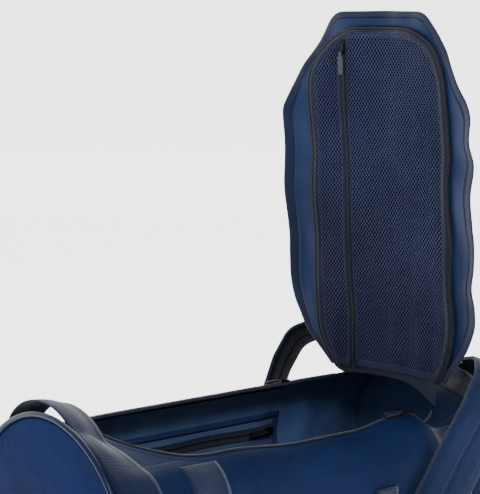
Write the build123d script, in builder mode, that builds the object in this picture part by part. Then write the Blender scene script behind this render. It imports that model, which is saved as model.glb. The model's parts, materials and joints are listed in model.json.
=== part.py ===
from build123d import *
from functools import lru_cache
from math import cos, sin, acos, sqrt, radians, degrees
import os

os.makedirs("parts", exist_ok=True)

# ---------------------------------------------------------------- driving sizes (mm)
# The bag lies along X with its lid hinged at the +X end; Z is up from the floor.
HALF_LENGTH = 322.0      # centre to either end panel
MID_HALF = 272.0         # centre to where the body starts to change towards an end

# Cross-section amidships, and at either end.
MID_HALF_WIDTH = 165.0
MID_HEIGHT = 276.0
MID_CROWN_RADIUS = 480.0
MID_SHOULDER_RADIUS = 50.0
END_HALF_WIDTH = 152.0
END_HEIGHT = 304.0
END_CROWN_RADIUS = 170.0
END_SHOULDER_RADIUS = 115.0
END_FLOOR = 8.0          # the end panels stand clear of the floor for their piping
FLOOR_RADIUS = 30.0      # rounding where the floor turns up into a wall
BASE_TURN_UP = 45.0      # how far the base panel wraps up the walls

# Coated cloth, lining, mesh, tapes and webbing.
CLOTH = 1.2
LINING = 0.8
MESH = 0.8
TAPE = 0.8
WEBBING = 1.6
GAP = 0.3                # between pieces that only touch loosely
SEAM = 0.2               # between layers sewn face to face
PIPING_RADIUS = 3.5
BOARD = 3.0

# The opening in the top, measured on its zip line.
OPENING_HALF_WIDTH = 118.0
HINGE_HALF_WIDTH = 88.0
HINGE_X = 235.0
HINGE_FLARE = 80.0       # length over which the opening narrows to the hinge
TIP_X = -250.0
TIP_RADIUS = 85.0
COIL_WIDTH = 3.4
COIL_HEIGHT = 2.0
TAPE_WIDTH = 14.0
FACING_WIDTH = 25.0

# The lid and its storm flap.
FLAP_SIDE = 32.0         # overhang past the zip line along the sides
FLAP_TIP = 20.0          # overhang past the zip line at the tip
LID_BINDING_WIDTH = 11.0
HINGE_RISE = 3.0         # hinge line above the crown
HINGE_GAP = 4.0          # lid's first edge, back from the hinge line
HINGE_ROLL_LENGTH = 30.0
HINGE_ROLL_RADIUS = 2.4
LID_FOLD = 86.0          # how far the lid is folded up
LID_TWIST = 8.0          # how far the raised lid turns towards the front
LID_FOAM = 3.0
LID_ZIP_Y = 60.0         # pocket zip, off the lid's centre line
LID_MESH_EDGE = 14.0     # binding round the lid's mesh
POCKET_COIL = 6.0        # a closed pocket coil, both halves

# Pocket on the inside of the back wall.
POCKET_LEFT = -115.0
POCKET_RIGHT = 170.0
POCKET_BELOW_CROWN = 66.0
POCKET_HEIGHT = 112.0
POCKET_ZIP_DROP = 26.0
POCKET_BINDING = 9.0

# Webbing round the body, handles and straps.
GIRTH_WIDTH = 48.0
GIRTH_X = 292.0
BAND_X = 200.0
BAND_WIDTH = 54.0
HANDLE_HALF_SPAN = 75.0
END_HANDLE_HALF_SPAN = 60.0
HANDLE_WEBBING = 38.0
HANDLE_BELOW_CROWN = 90.0
HANDLE_DROP = 76.0
HANDLE_THICKNESS = 2.4
PATCH_HEIGHT = 30.0
GRIP_LENGTH = 96.0
GRIP_THICKNESS = 7.0
STRAP_WIDTH = 66.0
STRAP_PAD = 9.0
STRAP_WEBBING_WIDTH = 30.0
LOCK_LENGTH = 34.0
LOCK_WIDTH = 42.0
LOCK_THICKNESS = 6.0

# ---------------------------------------------------------------- worked-out places
MID = (MID_HALF_WIDTH, MID_HEIGHT, MID_CROWN_RADIUS, MID_SHOULDER_RADIUS, 0.0)
END = (END_HALF_WIDTH, END_HEIGHT, END_CROWN_RADIUS, END_SHOULDER_RADIUS, END_FLOOR)
HINGE_Z = MID_HEIGHT + HINGE_RISE
HANDLE_TOP = MID_HEIGHT - HANDLE_BELOW_CROWN
POCKET_TOP = MID_HEIGHT - POCKET_BELOW_CROWN
POCKET_ZIP_Z = POCKET_TOP - POCKET_ZIP_DROP
POCKET_BOTTOM = POCKET_TOP - POCKET_HEIGHT
RIM_OFFSET = 1.0         # rim pieces start this far outside the zip line
LID_OFFSET = 1.2         # lid pieces stop this far inside it
RIM_Y = OPENING_HALF_WIDTH + RIM_OFFSET
COIL_LOW = SEAM + TAPE
COIL_TOP = COIL_LOW + COIL_HEIGHT
LID_TAPE_LOW = COIL_TOP + 0.1
LID_TAPE_TOP = LID_TAPE_LOW + TAPE
LID_LINING_TOP = LID_TAPE_TOP + 0.1 + LINING
LID_FOAM_TOP = LID_LINING_TOP + 0.1 + LID_FOAM
FLAP_LOW = LID_FOAM_TOP + 0.1
FLAP_TOP = FLAP_LOW + CLOTH
LID_TOP = FLAP_TOP + 0.1 + CLOTH
LINING_OUT = -CLOTH - SEAM
LINING_IN = LINING_OUT - LINING
FAR = 800.0              # larger than the bag, for cutting regions

TWIST_HALF = radians(LID_TWIST / 2)
FOLD_HALF = radians(LID_FOLD / 2)
LID_ANGLE = degrees(2 * acos(cos(TWIST_HALF) * cos(FOLD_HALF)))
LID_AXIS = Axis(
    (HINGE_X, 0, HINGE_Z),
    (
        -sin(TWIST_HALF) * sin(FOLD_HALF),
        cos(TWIST_HALF) * sin(FOLD_HALF),
        sin(TWIST_HALF) * cos(FOLD_HALF),
    ),
)


def finish(piece, name):
    """Name a finished piece and write it out under that name."""
    piece.part.label = name
    export_step(piece.part, f"parts/{name}.step")


# ---------------------------------------------------------------- the bag's form
def crown_height(y, grow=0.0):
    """Height of the mid-section's crown at a distance from the centre line."""
    radius = MID_CROWN_RADIUS + grow
    return MID_HEIGHT - MID_CROWN_RADIUS + sqrt(radius**2 - y**2)


@lru_cache(maxsize=None)
def outline(section, grow):
    """One closed cross-section: flat floor, upright walls, round shoulders, crown."""
    half_width, height, crown, shoulder, floor = section
    middle = height - crown
    reach = half_width - shoulder
    shoulder_z = middle + sqrt((crown - shoulder) ** 2 - reach**2)
    wall = half_width + grow
    lean = crown / (crown - shoulder)
    join_y = reach * (crown + grow) / (crown - shoulder)
    join_z = middle + (shoulder_z - middle) * (crown + grow) / (crown - shoulder)
    corner = FLOOR_RADIUS + grow
    bottom = floor - grow
    flat = half_width - FLOOR_RADIUS
    heel = floor + FLOOR_RADIUS
    with BuildSketch() as face:
        with BuildLine():
            Line((-flat, bottom), (flat, bottom))
            RadiusArc((flat, bottom), (wall, heel), -corner)
            Line((wall, heel), (wall, shoulder_z))
            RadiusArc((wall, shoulder_z), (join_y, join_z), -(shoulder + grow))
            RadiusArc((join_y, join_z), (-join_y, join_z), -(crown + grow))
            RadiusArc((-join_y, join_z), (-wall, shoulder_z), -(shoulder + grow))
            Line((-wall, shoulder_z), (-wall, heel))
            RadiusArc((-wall, heel), (-flat, bottom), -corner)
        make_face()
    return face.sketch


@lru_cache(maxsize=None)
def form(grow):
    """The whole outside of the bag, grown by a distance, as one solid."""
    with BuildPart() as solid:
        with BuildSketch(Plane.YZ.offset(-MID_HALF)):
            add(outline(MID, grow))
        extrude(amount=2 * MID_HALF)
        for side in (-1, 1):
            with BuildSketch(Plane.YZ.offset(side * MID_HALF)):
                add(outline(MID, grow))
            with BuildSketch(Plane.YZ.offset(side * HALF_LENGTH)):
                add(outline(END, grow))
            loft(ruled=True)
    return solid.part


def block(x, y, z):
    """A cutting region between two values along each of X, Y and Z."""
    with BuildPart() as region:
        with Locations((sum(x) / 2, sum(y) / 2, sum(z) / 2)):
            Box(x[1] - x[0], y[1] - y[0], z[1] - z[0])
    return region.part


def layer(inside, outside, region):
    """A skin between two grown copies of the bag, kept where it meets a region."""
    with BuildPart() as skin:
        add(region)
        add(form(outside), mode=Mode.INTERSECT)
        add(form(inside), mode=Mode.SUBTRACT)
    return skin.part


def slice_of_form(grow, reach):
    """A full cross-slice of the grown bag between two places along X."""
    with BuildPart() as piece:
        add(form(grow))
        add(block(reach, (-FAR, FAR), (-FAR, FAR)), mode=Mode.INTERSECT)
    return piece.part


# ---------------------------------------------------------------- plan outlines
def zip_line(grow):
    """The opening seen from above, round its zip line, grown by a distance."""
    straight = HINGE_X - HINGE_FLARE
    bend = TIP_X + TIP_RADIUS
    side = OPENING_HALF_WIDTH
    with BuildSketch() as plan:
        with BuildLine():
            Line((bend, side), (straight, side))
            TangentArc((straight, side), (HINGE_X, HINGE_HALF_WIDTH), tangent=(1, 0))
            Line((HINGE_X, HINGE_HALF_WIDTH), (HINGE_X, -HINGE_HALF_WIDTH))
            TangentArc((straight, -side), (HINGE_X, -HINGE_HALF_WIDTH), tangent=(1, 0))
            Line((straight, -side), (bend, -side))
            RadiusArc((bend, -side), (TIP_X, TIP_RADIUS - side), TIP_RADIUS)
            Line((TIP_X, TIP_RADIUS - side), (TIP_X, side - TIP_RADIUS))
            RadiusArc((TIP_X, side - TIP_RADIUS), (bend, side), TIP_RADIUS)
        make_face()
        if grow:
            offset(amount=grow)
    return plan.sketch


def flap_line(grow):
    """The storm flap seen from above: long straight sides and a mitred tip."""
    side = OPENING_HALF_WIDTH + FLAP_SIDE
    tip = TIP_X - FLAP_TIP
    half = [
        (HINGE_X, HINGE_HALF_WIDTH + 10),
        (HINGE_X - 60, OPENING_HALF_WIDTH + 10),
        (HINGE_X - 125, side - 4),
        (HINGE_X - 200, side),
        (TIP_X + 150, side),
        (TIP_X + 60, side - 30),
        (tip + 6, OPENING_HALF_WIDTH - 38),
        (tip, OPENING_HALF_WIDTH - 48),
    ]
    other = [(x, -y) for x, y in reversed(half)]
    with BuildSketch() as plan:
        with BuildLine():
            Polyline(*half, *other, close=True)
        make_face()
        if grow:
            offset(amount=grow)
    return plan.sketch


def column(plan, low=150.0, high=350.0):
    """An upright region with a plan outline."""
    with BuildPart() as region:
        with BuildSketch(Plane.XY.offset(low)):
            add(plan)
        extrude(amount=high - low)
    return region.part


def ring(outer, inner, end):
    """An upright ring between two plan outlines, stopped at a place along X."""
    with BuildPart() as region:
        add(column(outer))
        add(column(inner), mode=Mode.SUBTRACT)
        add(block((-FAR, end), (-FAR, FAR), (-FAR, FAR)), mode=Mode.INTERSECT)
    return region.part


# ---------------------------------------------------------------- body panels
with BuildPart() as base_panel:
    add(layer(-CLOTH, 0, block((-FAR, FAR), (-FAR, FAR), (-1, BASE_TURN_UP))))
finish(base_panel, "base_panel")

BOARD_LOW = -LINING_IN + GAP
with BuildPart() as base_board:
    with BuildSketch(Plane.XY.offset(BOARD_LOW)):
        RectangleRounded(2 * MID_HALF - 20, 2 * (MID_HALF_WIDTH - FLOOR_RADIUS) - 4, 20)
    extrude(amount=BOARD)
finish(base_board, "base_board")

for side, name in ((-1, "front_wall"), (1, "back_wall")):
    reach = sorted((side * RIM_Y, side * FAR))
    with BuildPart() as wall:
        add(layer(-CLOTH, 0, block((-FAR, FAR), reach, (BASE_TURN_UP, FAR))))
    finish(wall, name)

for reach, name in (
    ((-FAR, TIP_X + TIP_RADIUS), "left_top_panel"),
    ((HINGE_X - HINGE_FLARE, FAR), "right_top_panel"),
):
    with BuildPart() as deck:
        add(layer(-CLOTH, 0, block(reach, (-RIM_Y, RIM_Y), (150, FAR))))
        add(column(zip_line(RIM_OFFSET)), mode=Mode.SUBTRACT)
    finish(deck, name)

for side, name in ((-1, "left"), (1, "right")):
    with BuildPart() as end_panel:
        with BuildSketch(Plane.YZ.offset(side * HALF_LENGTH)):
            add(outline(END, 0.0))
        extrude(amount=side * CLOTH)
    finish(end_panel, f"{name}_end_panel")

    piping_line = outline(END, PIPING_RADIUS + GAP).face().outer_wire()
    piping_path = Plane.YZ.offset(side * HALF_LENGTH) * piping_line
    with BuildPart() as piping:
        with BuildSketch(Plane(piping_path @ 0, z_dir=piping_path % 0)):
            Circle(PIPING_RADIUS)
        sweep(path=piping_path)
    finish(piping, f"{name}_end_piping")

with BuildPart() as lining:
    add(layer(LINING_IN, LINING_OUT, block((4 - HALF_LENGTH, HALF_LENGTH - 4), (-FAR, FAR), (0, FAR))))
    add(column(zip_line(FACING_WIDTH + 4)), mode=Mode.SUBTRACT)
    for side in (-1, 1):
        slab = sorted((side * (HALF_LENGTH - 5), side * (HALF_LENGTH - 5 + LINING)))
        add(slice_of_form(LINING_IN, slab))
finish(lining, "lining")

# ---------------------------------------------------------------- the opening's rim
with BuildPart() as rim_zip_tape:
    add(layer(SEAM, COIL_LOW, ring(zip_line(RIM_OFFSET + TAPE_WIDTH), zip_line(RIM_OFFSET), HINGE_X - 4)))
finish(rim_zip_tape, "rim_zip_tape")

with BuildPart() as rim_zip_coil:
    add(layer(COIL_LOW, COIL_TOP, ring(zip_line(RIM_OFFSET + COIL_WIDTH), zip_line(RIM_OFFSET), HINGE_X - 12)))
finish(rim_zip_coil, "rim_zip_coil")

with BuildPart() as rim_facing:
    facing = ring(zip_line(RIM_OFFSET + FACING_WIDTH), zip_line(RIM_OFFSET), HINGE_X - 4)
    add(layer(LINING_IN, LINING_OUT, facing))
finish(rim_facing, "rim_facing")

with BuildPart() as hinge_roll:
    with BuildSketch(Plane(LID_AXIS.position, z_dir=LID_AXIS.direction)):
        Circle(HINGE_ROLL_RADIUS)
    extrude(amount=HINGE_ROLL_LENGTH / 2, both=True)
    add(form(SEAM), mode=Mode.SUBTRACT)

with BuildPart() as hinge_strip:
    strip = block((HINGE_X + 1, HINGE_X + 26), (-HINGE_HALF_WIDTH - 8, HINGE_HALF_WIDTH + 8), (150, FAR))
    add(layer(SEAM, SEAM + CLOTH, strip))
    add(hinge_roll.part)
finish(hinge_strip, "hinge_strip")


# ---------------------------------------------------------------- pocket on the back wall
WALL_INSIDE = MID_HALF_WIDTH + LINING_IN - SEAM


def wall_sheet(x, z, near, thickness):
    """A flat upright sheet just inside the back wall, its wall face at a depth."""
    return block(x, (WALL_INSIDE - near - thickness, WALL_INSIDE - near), z)


POCKET_X = (POCKET_LEFT, POCKET_RIGHT)
POCKET_INNER_X = (POCKET_LEFT + POCKET_BINDING, POCKET_RIGHT - POCKET_BINDING)
ZIP_TAPE_HALF = 9.0
with BuildPart() as wall_pocket_binding:
    add(wall_sheet(POCKET_X, (POCKET_BOTTOM, POCKET_TOP), 0.0, 2.2))
    window = (POCKET_BOTTOM + POCKET_BINDING, POCKET_TOP - POCKET_BINDING)
    add(wall_sheet(POCKET_INNER_X, window, -1.0, 5.0), mode=Mode.SUBTRACT)
finish(wall_pocket_binding, "wall_pocket_binding")

POCKET_MESH_X = (POCKET_INNER_X[0] + 0.1, POCKET_INNER_X[1] - 0.1)
POCKET_MESH_Z = (POCKET_BOTTOM + POCKET_BINDING + 0.1, POCKET_TOP - POCKET_BINDING - 0.1)
for name, z in (
    ("wall_pocket_upper_mesh", (POCKET_ZIP_Z + 5, POCKET_MESH_Z[1])),
    ("wall_pocket_lower_mesh", (POCKET_MESH_Z[0], POCKET_ZIP_Z - 5)),
):
    with BuildPart() as mesh:
        add(wall_sheet(POCKET_MESH_X, z, 0.4, MESH))
    finish(mesh, name)

ZIP_TAPE_DEPTH = 0.4 + MESH + 0.1
ZIP_COIL_DEPTH = ZIP_TAPE_DEPTH + TAPE
with BuildPart() as wall_pocket_zip:
    tape_z = (POCKET_ZIP_Z - ZIP_TAPE_HALF, POCKET_ZIP_Z + ZIP_TAPE_HALF)
    add(wall_sheet(POCKET_MESH_X, tape_z, ZIP_TAPE_DEPTH, TAPE))
    coil_z = (POCKET_ZIP_Z - POCKET_COIL / 2, POCKET_ZIP_Z + POCKET_COIL / 2)
    add(wall_sheet(POCKET_MESH_X, coil_z, ZIP_COIL_DEPTH, COIL_HEIGHT))
finish(wall_pocket_zip, "wall_pocket_zip")


# ---------------------------------------------------------------- the lid
def stand_open(closed):
    """Turn a lid piece from its closed place to the raised one about the hinge."""
    return closed.rotate(LID_AXIS, LID_ANGLE)


LID_END = HINGE_X - HINGE_GAP
MESH_EDGE_OUT = -LID_OFFSET - COIL_WIDTH - 0.6
MESH_EDGE_IN = MESH_EDGE_OUT - LID_MESH_EDGE
MESH_OUT = -LID_OFFSET - TAPE_WIDTH - SEAM
LID_CORE = -2.0
FLAP_ROOT = -16.0
INNER_LOW = LID_TAPE_LOW - 0.1 - TAPE
POCKET_COIL_LOW = INNER_LOW - COIL_HEIGHT
HALF_SPACE = (-FAR, LID_END)


def lid_layer(low, high, outer, inner=None, y=(-FAR, FAR)):
    """One layer of the lid, cut to plan outlines while closed, then raised."""
    with BuildPart() as region:
        add(column(outer))
        if inner is not None:
            add(column(inner), mode=Mode.SUBTRACT)
        add(block(HALF_SPACE, y, (0, FAR)), mode=Mode.INTERSECT)
    return stand_open(layer(low, high, region.part))


LID_LAYERS = {
    "lid_panel": (FLAP_TOP + 0.1, LID_TOP, flap_line(-LID_BINDING_WIDTH), None),
    "lid_binding": (FLAP_LOW, LID_TOP, flap_line(0), flap_line(-LID_BINDING_WIDTH)),
    "storm_flap": (FLAP_LOW, FLAP_TOP, flap_line(-LID_BINDING_WIDTH), zip_line(FLAP_ROOT)),
    "lid_foam": (LID_LINING_TOP + 0.1, LID_FOAM_TOP, zip_line(LID_CORE), None),
    "lid_lining": (LID_TAPE_TOP + 0.1, LID_LINING_TOP, zip_line(LID_CORE), None),
    "lid_zip_tape": (LID_TAPE_LOW, LID_TAPE_TOP, zip_line(-LID_OFFSET), zip_line(-LID_OFFSET - TAPE_WIDTH)),
    "lid_zip_coil": (COIL_LOW, COIL_TOP, zip_line(-LID_OFFSET), zip_line(-LID_OFFSET - COIL_WIDTH)),
    "lid_mesh_edging": (INNER_LOW, INNER_LOW + TAPE, zip_line(MESH_EDGE_OUT), zip_line(MESH_EDGE_IN)),
}
for name, (low, high, outer, inner) in LID_LAYERS.items():
    with BuildPart() as lid_piece:
        add(lid_layer(low, high, outer, inner))
    finish(lid_piece, name)

for name, y in (
    ("lid_mesh_main", (-FAR, LID_ZIP_Y - 5)),
    ("lid_mesh_side", (LID_ZIP_Y + 5, FAR)),
):
    with BuildPart() as lid_mesh:
        add(lid_layer(LID_TAPE_LOW, LID_TAPE_LOW + MESH, zip_line(MESH_OUT), None, y))
    finish(lid_mesh, name)

with BuildPart() as lid_pocket_zip:
    inside_edging = zip_line(MESH_EDGE_IN - SEAM)
    tape_y = (LID_ZIP_Y - ZIP_TAPE_HALF, LID_ZIP_Y + ZIP_TAPE_HALF)
    coil_y = (LID_ZIP_Y - POCKET_COIL / 2, LID_ZIP_Y + POCKET_COIL / 2)
    add(lid_layer(INNER_LOW, INNER_LOW + TAPE, inside_edging, None, tape_y))
    add(lid_layer(POCKET_COIL_LOW, INNER_LOW, inside_edging, None, coil_y))
finish(lid_pocket_zip, "lid_pocket_zip")


# ---------------------------------------------------------------- sliders and pulls
SLIDER_LENGTH = 15.0
SLIDER_CHEEK = 1.0
SLIDER_CLEAR = 0.5
SLIDER_PLATE = 1.4
LUG = 1.0
LUG_LENGTH = 4.0
PIN_X = -4.0
PIN_RADIUS = 0.6
PULL_LENGTH = 30.0
PULL_WIDTH = 8.0
PULL_NECK = 4.4
PULL_NECK_LENGTH = 6.0
PULL_TAIL = 0.8
PULL_THICKNESS = 2.0
PLATE_LOW = COIL_HEIGHT + GAP
PIN_HEIGHT = PLATE_LOW + SLIDER_PLATE + GAP + PULL_THICKNESS / 2


def slider_on(plane, coil_width):
    """A slider straddling a coil, with two lugs and a pin for its pull.

    The plane stands at the middle of the coil's foot: X along the coil, Z away
    from the tape.
    """
    inner = coil_width / 2 + SLIDER_CLEAR
    lug_y = PULL_NECK / 2 + GAP + LUG / 2
    with BuildPart(plane) as slider:
        with Locations((0, 0, PLATE_LOW + SLIDER_PLATE / 2)):
            Box(SLIDER_LENGTH, 2 * (inner + SLIDER_CHEEK), SLIDER_PLATE)
        for side in (-1, 1):
            with Locations((0, side * (inner + SLIDER_CHEEK / 2), (PLATE_LOW + GAP) / 2)):
                Box(SLIDER_LENGTH, SLIDER_CHEEK, PLATE_LOW - GAP)
            with Locations((PIN_X, side * lug_y, PIN_HEIGHT - 0.4)):
                Box(LUG_LENGTH, LUG, PULL_THICKNESS + 0.8)
        with Locations((PIN_X, 0, PIN_HEIGHT)):
            Cylinder(PIN_RADIUS, 2 * lug_y, rotation=(90, 0, 0))
    return slider.part


def pull_on(plane):
    """A flat pull tab on the slider's pin, lying along the coil."""
    with BuildPart(plane) as pull:
        with Locations((PIN_X - (PULL_NECK_LENGTH + PULL_LENGTH) / 2, 0, PIN_HEIGHT)):
            Box(PULL_LENGTH - PULL_NECK_LENGTH, PULL_WIDTH, PULL_THICKNESS)
        with Locations((PIN_X + (PULL_TAIL - PULL_NECK_LENGTH) / 2, 0, PIN_HEIGHT)):
            Box(PULL_NECK_LENGTH + PULL_TAIL, PULL_NECK, PULL_THICKNESS)
        with Locations((PIN_X, 0, PIN_HEIGHT)):
            Cylinder(PIN_RADIUS + 0.06, 2 * PULL_WIDTH, rotation=(90, 0, 0), mode=Mode.SUBTRACT)
    return pull.part


def crown_plane(x, y, grow, outward, along):
    """A plane on the grown crown, Z along its normal and X along the bag."""
    radius = MID_CROWN_RADIUS + grow
    lean = y / radius
    normal = (0, outward * lean, outward * sqrt(1 - lean**2))
    return Plane((x, y, crown_height(y, grow)), x_dir=(along, 0, 0), z_dir=normal)


SLIDER_PARK_X = HINGE_X - HINGE_FLARE - SLIDER_LENGTH / 2 - 1
COIL_LEAN = RIM_Y / MID_CROWN_RADIUS
RIM_COIL_Y = RIM_Y + COIL_WIDTH / 2 - COIL_HEIGHT / 2 * COIL_LEAN
for side, name in ((-1, "front"), (1, "back")):
    park = crown_plane(SLIDER_PARK_X, side * RIM_COIL_Y, COIL_LOW, 1, 1)
    with BuildPart() as main_slider:
        add(slider_on(park, COIL_WIDTH))
    finish(main_slider, f"{name}_slider")
    with BuildPart() as main_pull:
        add(pull_on(park))
    finish(main_pull, f"{name}_slider_pull")

LID_SLIDER_X = TIP_X - MESH_EDGE_IN + SLIDER_LENGTH / 2 + 4
lid_park = crown_plane(LID_SLIDER_X, LID_ZIP_Y, INNER_LOW, -1, -1)
with BuildPart() as lid_pocket_slider:
    add(stand_open(slider_on(lid_park, POCKET_COIL)))
finish(lid_pocket_slider, "lid_pocket_slider")
with BuildPart() as lid_pocket_pull:
    add(stand_open(pull_on(lid_park)))
finish(lid_pocket_pull, "lid_pocket_pull")

WALL_SLIDER_X = POCKET_INNER_X[1] - SLIDER_LENGTH / 2 - 4
wall_park = Plane((WALL_SLIDER_X, WALL_INSIDE - ZIP_COIL_DEPTH, POCKET_ZIP_Z), x_dir=(1, 0, 0), z_dir=(0, -1, 0))
with BuildPart() as wall_pocket_slider:
    add(slider_on(wall_park, POCKET_COIL))
finish(wall_pocket_slider, "wall_pocket_slider")
with BuildPart() as wall_pocket_pull:
    add(pull_on(wall_park))
finish(wall_pocket_pull, "wall_pocket_pull")


# ---------------------------------------------------------------- webbing on the body
SKIN_LOW = SEAM
SKIN_TOP = SEAM + WEBBING
SLACK = (-46.0, 107.0)       # where the slack loop leaves and rejoins, across the bag
SLACK_ENDS = (297.4, 268.6)
SLACK_PEAK = (40.0, 333.0)

with BuildPart() as right_girth_strap:
    girth_x = (GIRTH_X - GIRTH_WIDTH / 2, GIRTH_X + GIRTH_WIDTH / 2)
    add(layer(SKIN_LOW, SKIN_TOP, block(girth_x, (-FAR, FAR), (BASE_TURN_UP + 2, FAR))))
finish(right_girth_strap, "right_girth_strap")

with BuildPart() as left_girth_strap:
    girth_x = (-GIRTH_X - GIRTH_WIDTH / 2, -GIRTH_X + GIRTH_WIDTH / 2)
    for y in ((-FAR, SLACK[0]), (SLACK[1], FAR)):
        add(layer(SKIN_LOW, SKIN_TOP, block(girth_x, y, (BASE_TURN_UP + 2, FAR))))
    with BuildSketch(Plane.YZ.offset(girth_x[0])):
        with BuildLine():
            ThreePointArc((SLACK[0], SLACK_ENDS[0]), SLACK_PEAK, (SLACK[1], SLACK_ENDS[1]))
        trace(line_width=WEBBING)
    extrude(amount=GIRTH_WIDTH)
finish(left_girth_strap, "left_girth_strap")

for side, name in ((-1, "front"), (1, "back")):
    reach = sorted((side * (RIM_Y + TAPE_WIDTH + 1.5), side * FAR))
    with BuildPart() as bands:
        for x in (-BAND_X, BAND_X):
            band_x = (x - BAND_WIDTH / 2, x + BAND_WIDTH / 2)
            add(layer(SKIN_LOW, SKIN_TOP, block(band_x, reach, (BASE_TURN_UP + 2, FAR))))
    finish(bands, f"{name}_wall_bands")

    with BuildPart() as patches:
        for x in (-HANDLE_HALF_SPAN, HANDLE_HALF_SPAN):
            patch_x = (x - HANDLE_WEBBING / 2, x + HANDLE_WEBBING / 2)
            patch_z = (HANDLE_TOP - PATCH_HEIGHT, HANDLE_TOP)
            add(layer(SKIN_LOW, SKIN_TOP, block(patch_x, reach, patch_z)))
    finish(patches, f"{name}_handle_patches")

for side, name in ((-1, "left"), (1, "right")):
    with BuildPart() as patches:
        for y in (-END_HANDLE_HALF_SPAN, END_HANDLE_HALF_SPAN):
            face = HALF_LENGTH + CLOTH + SEAM + WEBBING / 2
            with Locations((side * face, y, HANDLE_TOP - PATCH_HEIGHT / 2)):
                Box(WEBBING, HANDLE_WEBBING, PATCH_HEIGHT)
    finish(patches, f"{name}_end_patches")


# ---------------------------------------------------------------- carrying handles
def handle_loop(plane, half_span):
    """A webbing handle hanging flat: two legs and the run across between them."""
    outer = half_span + HANDLE_WEBBING / 2
    inner = half_span - HANDLE_WEBBING / 2
    foot = HANDLE_DROP + HANDLE_WEBBING / 2
    grip_top = HANDLE_DROP - HANDLE_WEBBING / 2
    with BuildPart() as loop:
        with BuildSketch(plane):
            with Locations((0, -foot / 2)):
                RectangleRounded(2 * outer, foot, 12)
            with Locations((0, -6)):
                Rectangle(2 * outer, 12)
            with Locations((0, -grip_top / 2)):
                Rectangle(2 * inner, grip_top, mode=Mode.SUBTRACT)
        extrude(amount=HANDLE_THICKNESS)
    return loop.part


def handle_grip(plane):
    """The padded wrap round the handle's middle."""
    with BuildPart(plane) as grip:
        with Locations((0, -HANDLE_DROP, HANDLE_THICKNESS + GAP / 2 + GRIP_THICKNESS / 2)):
            Box(GRIP_LENGTH, HANDLE_WEBBING + 6, GRIP_THICKNESS)
    return grip.part


HANDLE_FACE = SKIN_TOP + GAP
SIDE_PLANES = {
    "front": Plane((0, -MID_HALF_WIDTH - HANDLE_FACE, HANDLE_TOP), x_dir=(1, 0, 0), z_dir=(0, -1, 0)),
    "back": Plane((0, MID_HALF_WIDTH + HANDLE_FACE, HANDLE_TOP), x_dir=(-1, 0, 0), z_dir=(0, 1, 0)),
}
END_PLANES = {
    "left": Plane((-HALF_LENGTH - CLOTH - HANDLE_FACE, 0, HANDLE_TOP), x_dir=(0, -1, 0), z_dir=(-1, 0, 0)),
    "right": Plane((HALF_LENGTH + CLOTH + HANDLE_FACE, 0, HANDLE_TOP), x_dir=(0, 1, 0), z_dir=(1, 0, 0)),
}
for name, plane in SIDE_PLANES.items():
    with BuildPart() as handle:
        add(handle_loop(plane, HANDLE_HALF_SPAN))
    finish(handle, f"{name}_handle")
    with BuildPart() as grip:
        add(handle_grip(plane))
    finish(grip, f"{name}_handle_grip")
for name, plane in END_PLANES.items():
    with BuildPart() as handle:
        add(handle_loop(plane, END_HANDLE_HALF_SPAN))
    finish(handle, f"{name}_end_handle")


# ---------------------------------------------------------------- shoulder straps
STRAP_ORIGIN = (302.0, -64.0, 296.0)
STRAP_SIDEWAYS = (-0.762, 0.397, 0.512)
STRAP_PLANE = Plane(STRAP_ORIGIN, x_dir=(-0.462, -0.887, 0), z_dir=STRAP_SIDEWAYS)
STRAP_TOP_WEBBING = [(0, 1.2), (36, 3.6), (66, 8), (81.6, 12.8)]
STRAP_ARCH = [(82, 13), (122, 26), (152, 10), (166, -34), (172, -92), (186, -172)]
STRAP_ARCH_RADII = [30, 30, 60, 120]
STRAP_LOW_WEBBING = [(186, -172.4), (194, -226), (202, -290)]


def ribbon(points, radii, width, thickness, lift=0.0):
    """A flat ribbon along a line drawn in the strap's own plane."""
    with BuildPart() as piece:
        with BuildSketch(STRAP_PLANE.offset(-width / 2)):
            with BuildLine():
                FilletPolyline(*points, radius=radii)
            trace(line_width=thickness)
        extrude(amount=width)
    return piece.part


def lock_on(start, end):
    """A ladder lock lying on the outer face of the webbing, with two slots."""
    along = Vector(end[0] - start[0], end[1] - start[1]).normalized()
    across = Vector(-along.Y, along.X)
    lift = WEBBING / 2 + 3 * GAP
    slot = 3.4
    with BuildPart() as lock:
        for near, far in ((0, 6), (6 + slot, LOCK_LENGTH - 6 - slot), (LOCK_LENGTH - 6, LOCK_LENGTH)):
            with BuildSketch(STRAP_PLANE.offset(-LOCK_WIDTH / 2)):
                with BuildLine():
                    corners = [(near, lift), (far, lift), (far, lift + LOCK_THICKNESS), (near, lift + LOCK_THICKNESS)]
                    Polyline(*[Vector(*start) + along * a + across * b for a, b in corners], close=True)
                make_face()
            extrude(amount=LOCK_WIDTH)
        for rail in (-LOCK_WIDTH / 2, LOCK_WIDTH / 2 - 5):
            with BuildSketch(STRAP_PLANE.offset(rail)):
                with BuildLine():
                    corners = [(0, lift), (LOCK_LENGTH, lift), (LOCK_LENGTH, lift + LOCK_THICKNESS), (0, lift + LOCK_THICKNESS)]
                    Polyline(*[Vector(*start) + along * a + across * b for a, b in corners], close=True)
                make_face()
            extrude(amount=5)
    return lock.part


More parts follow.
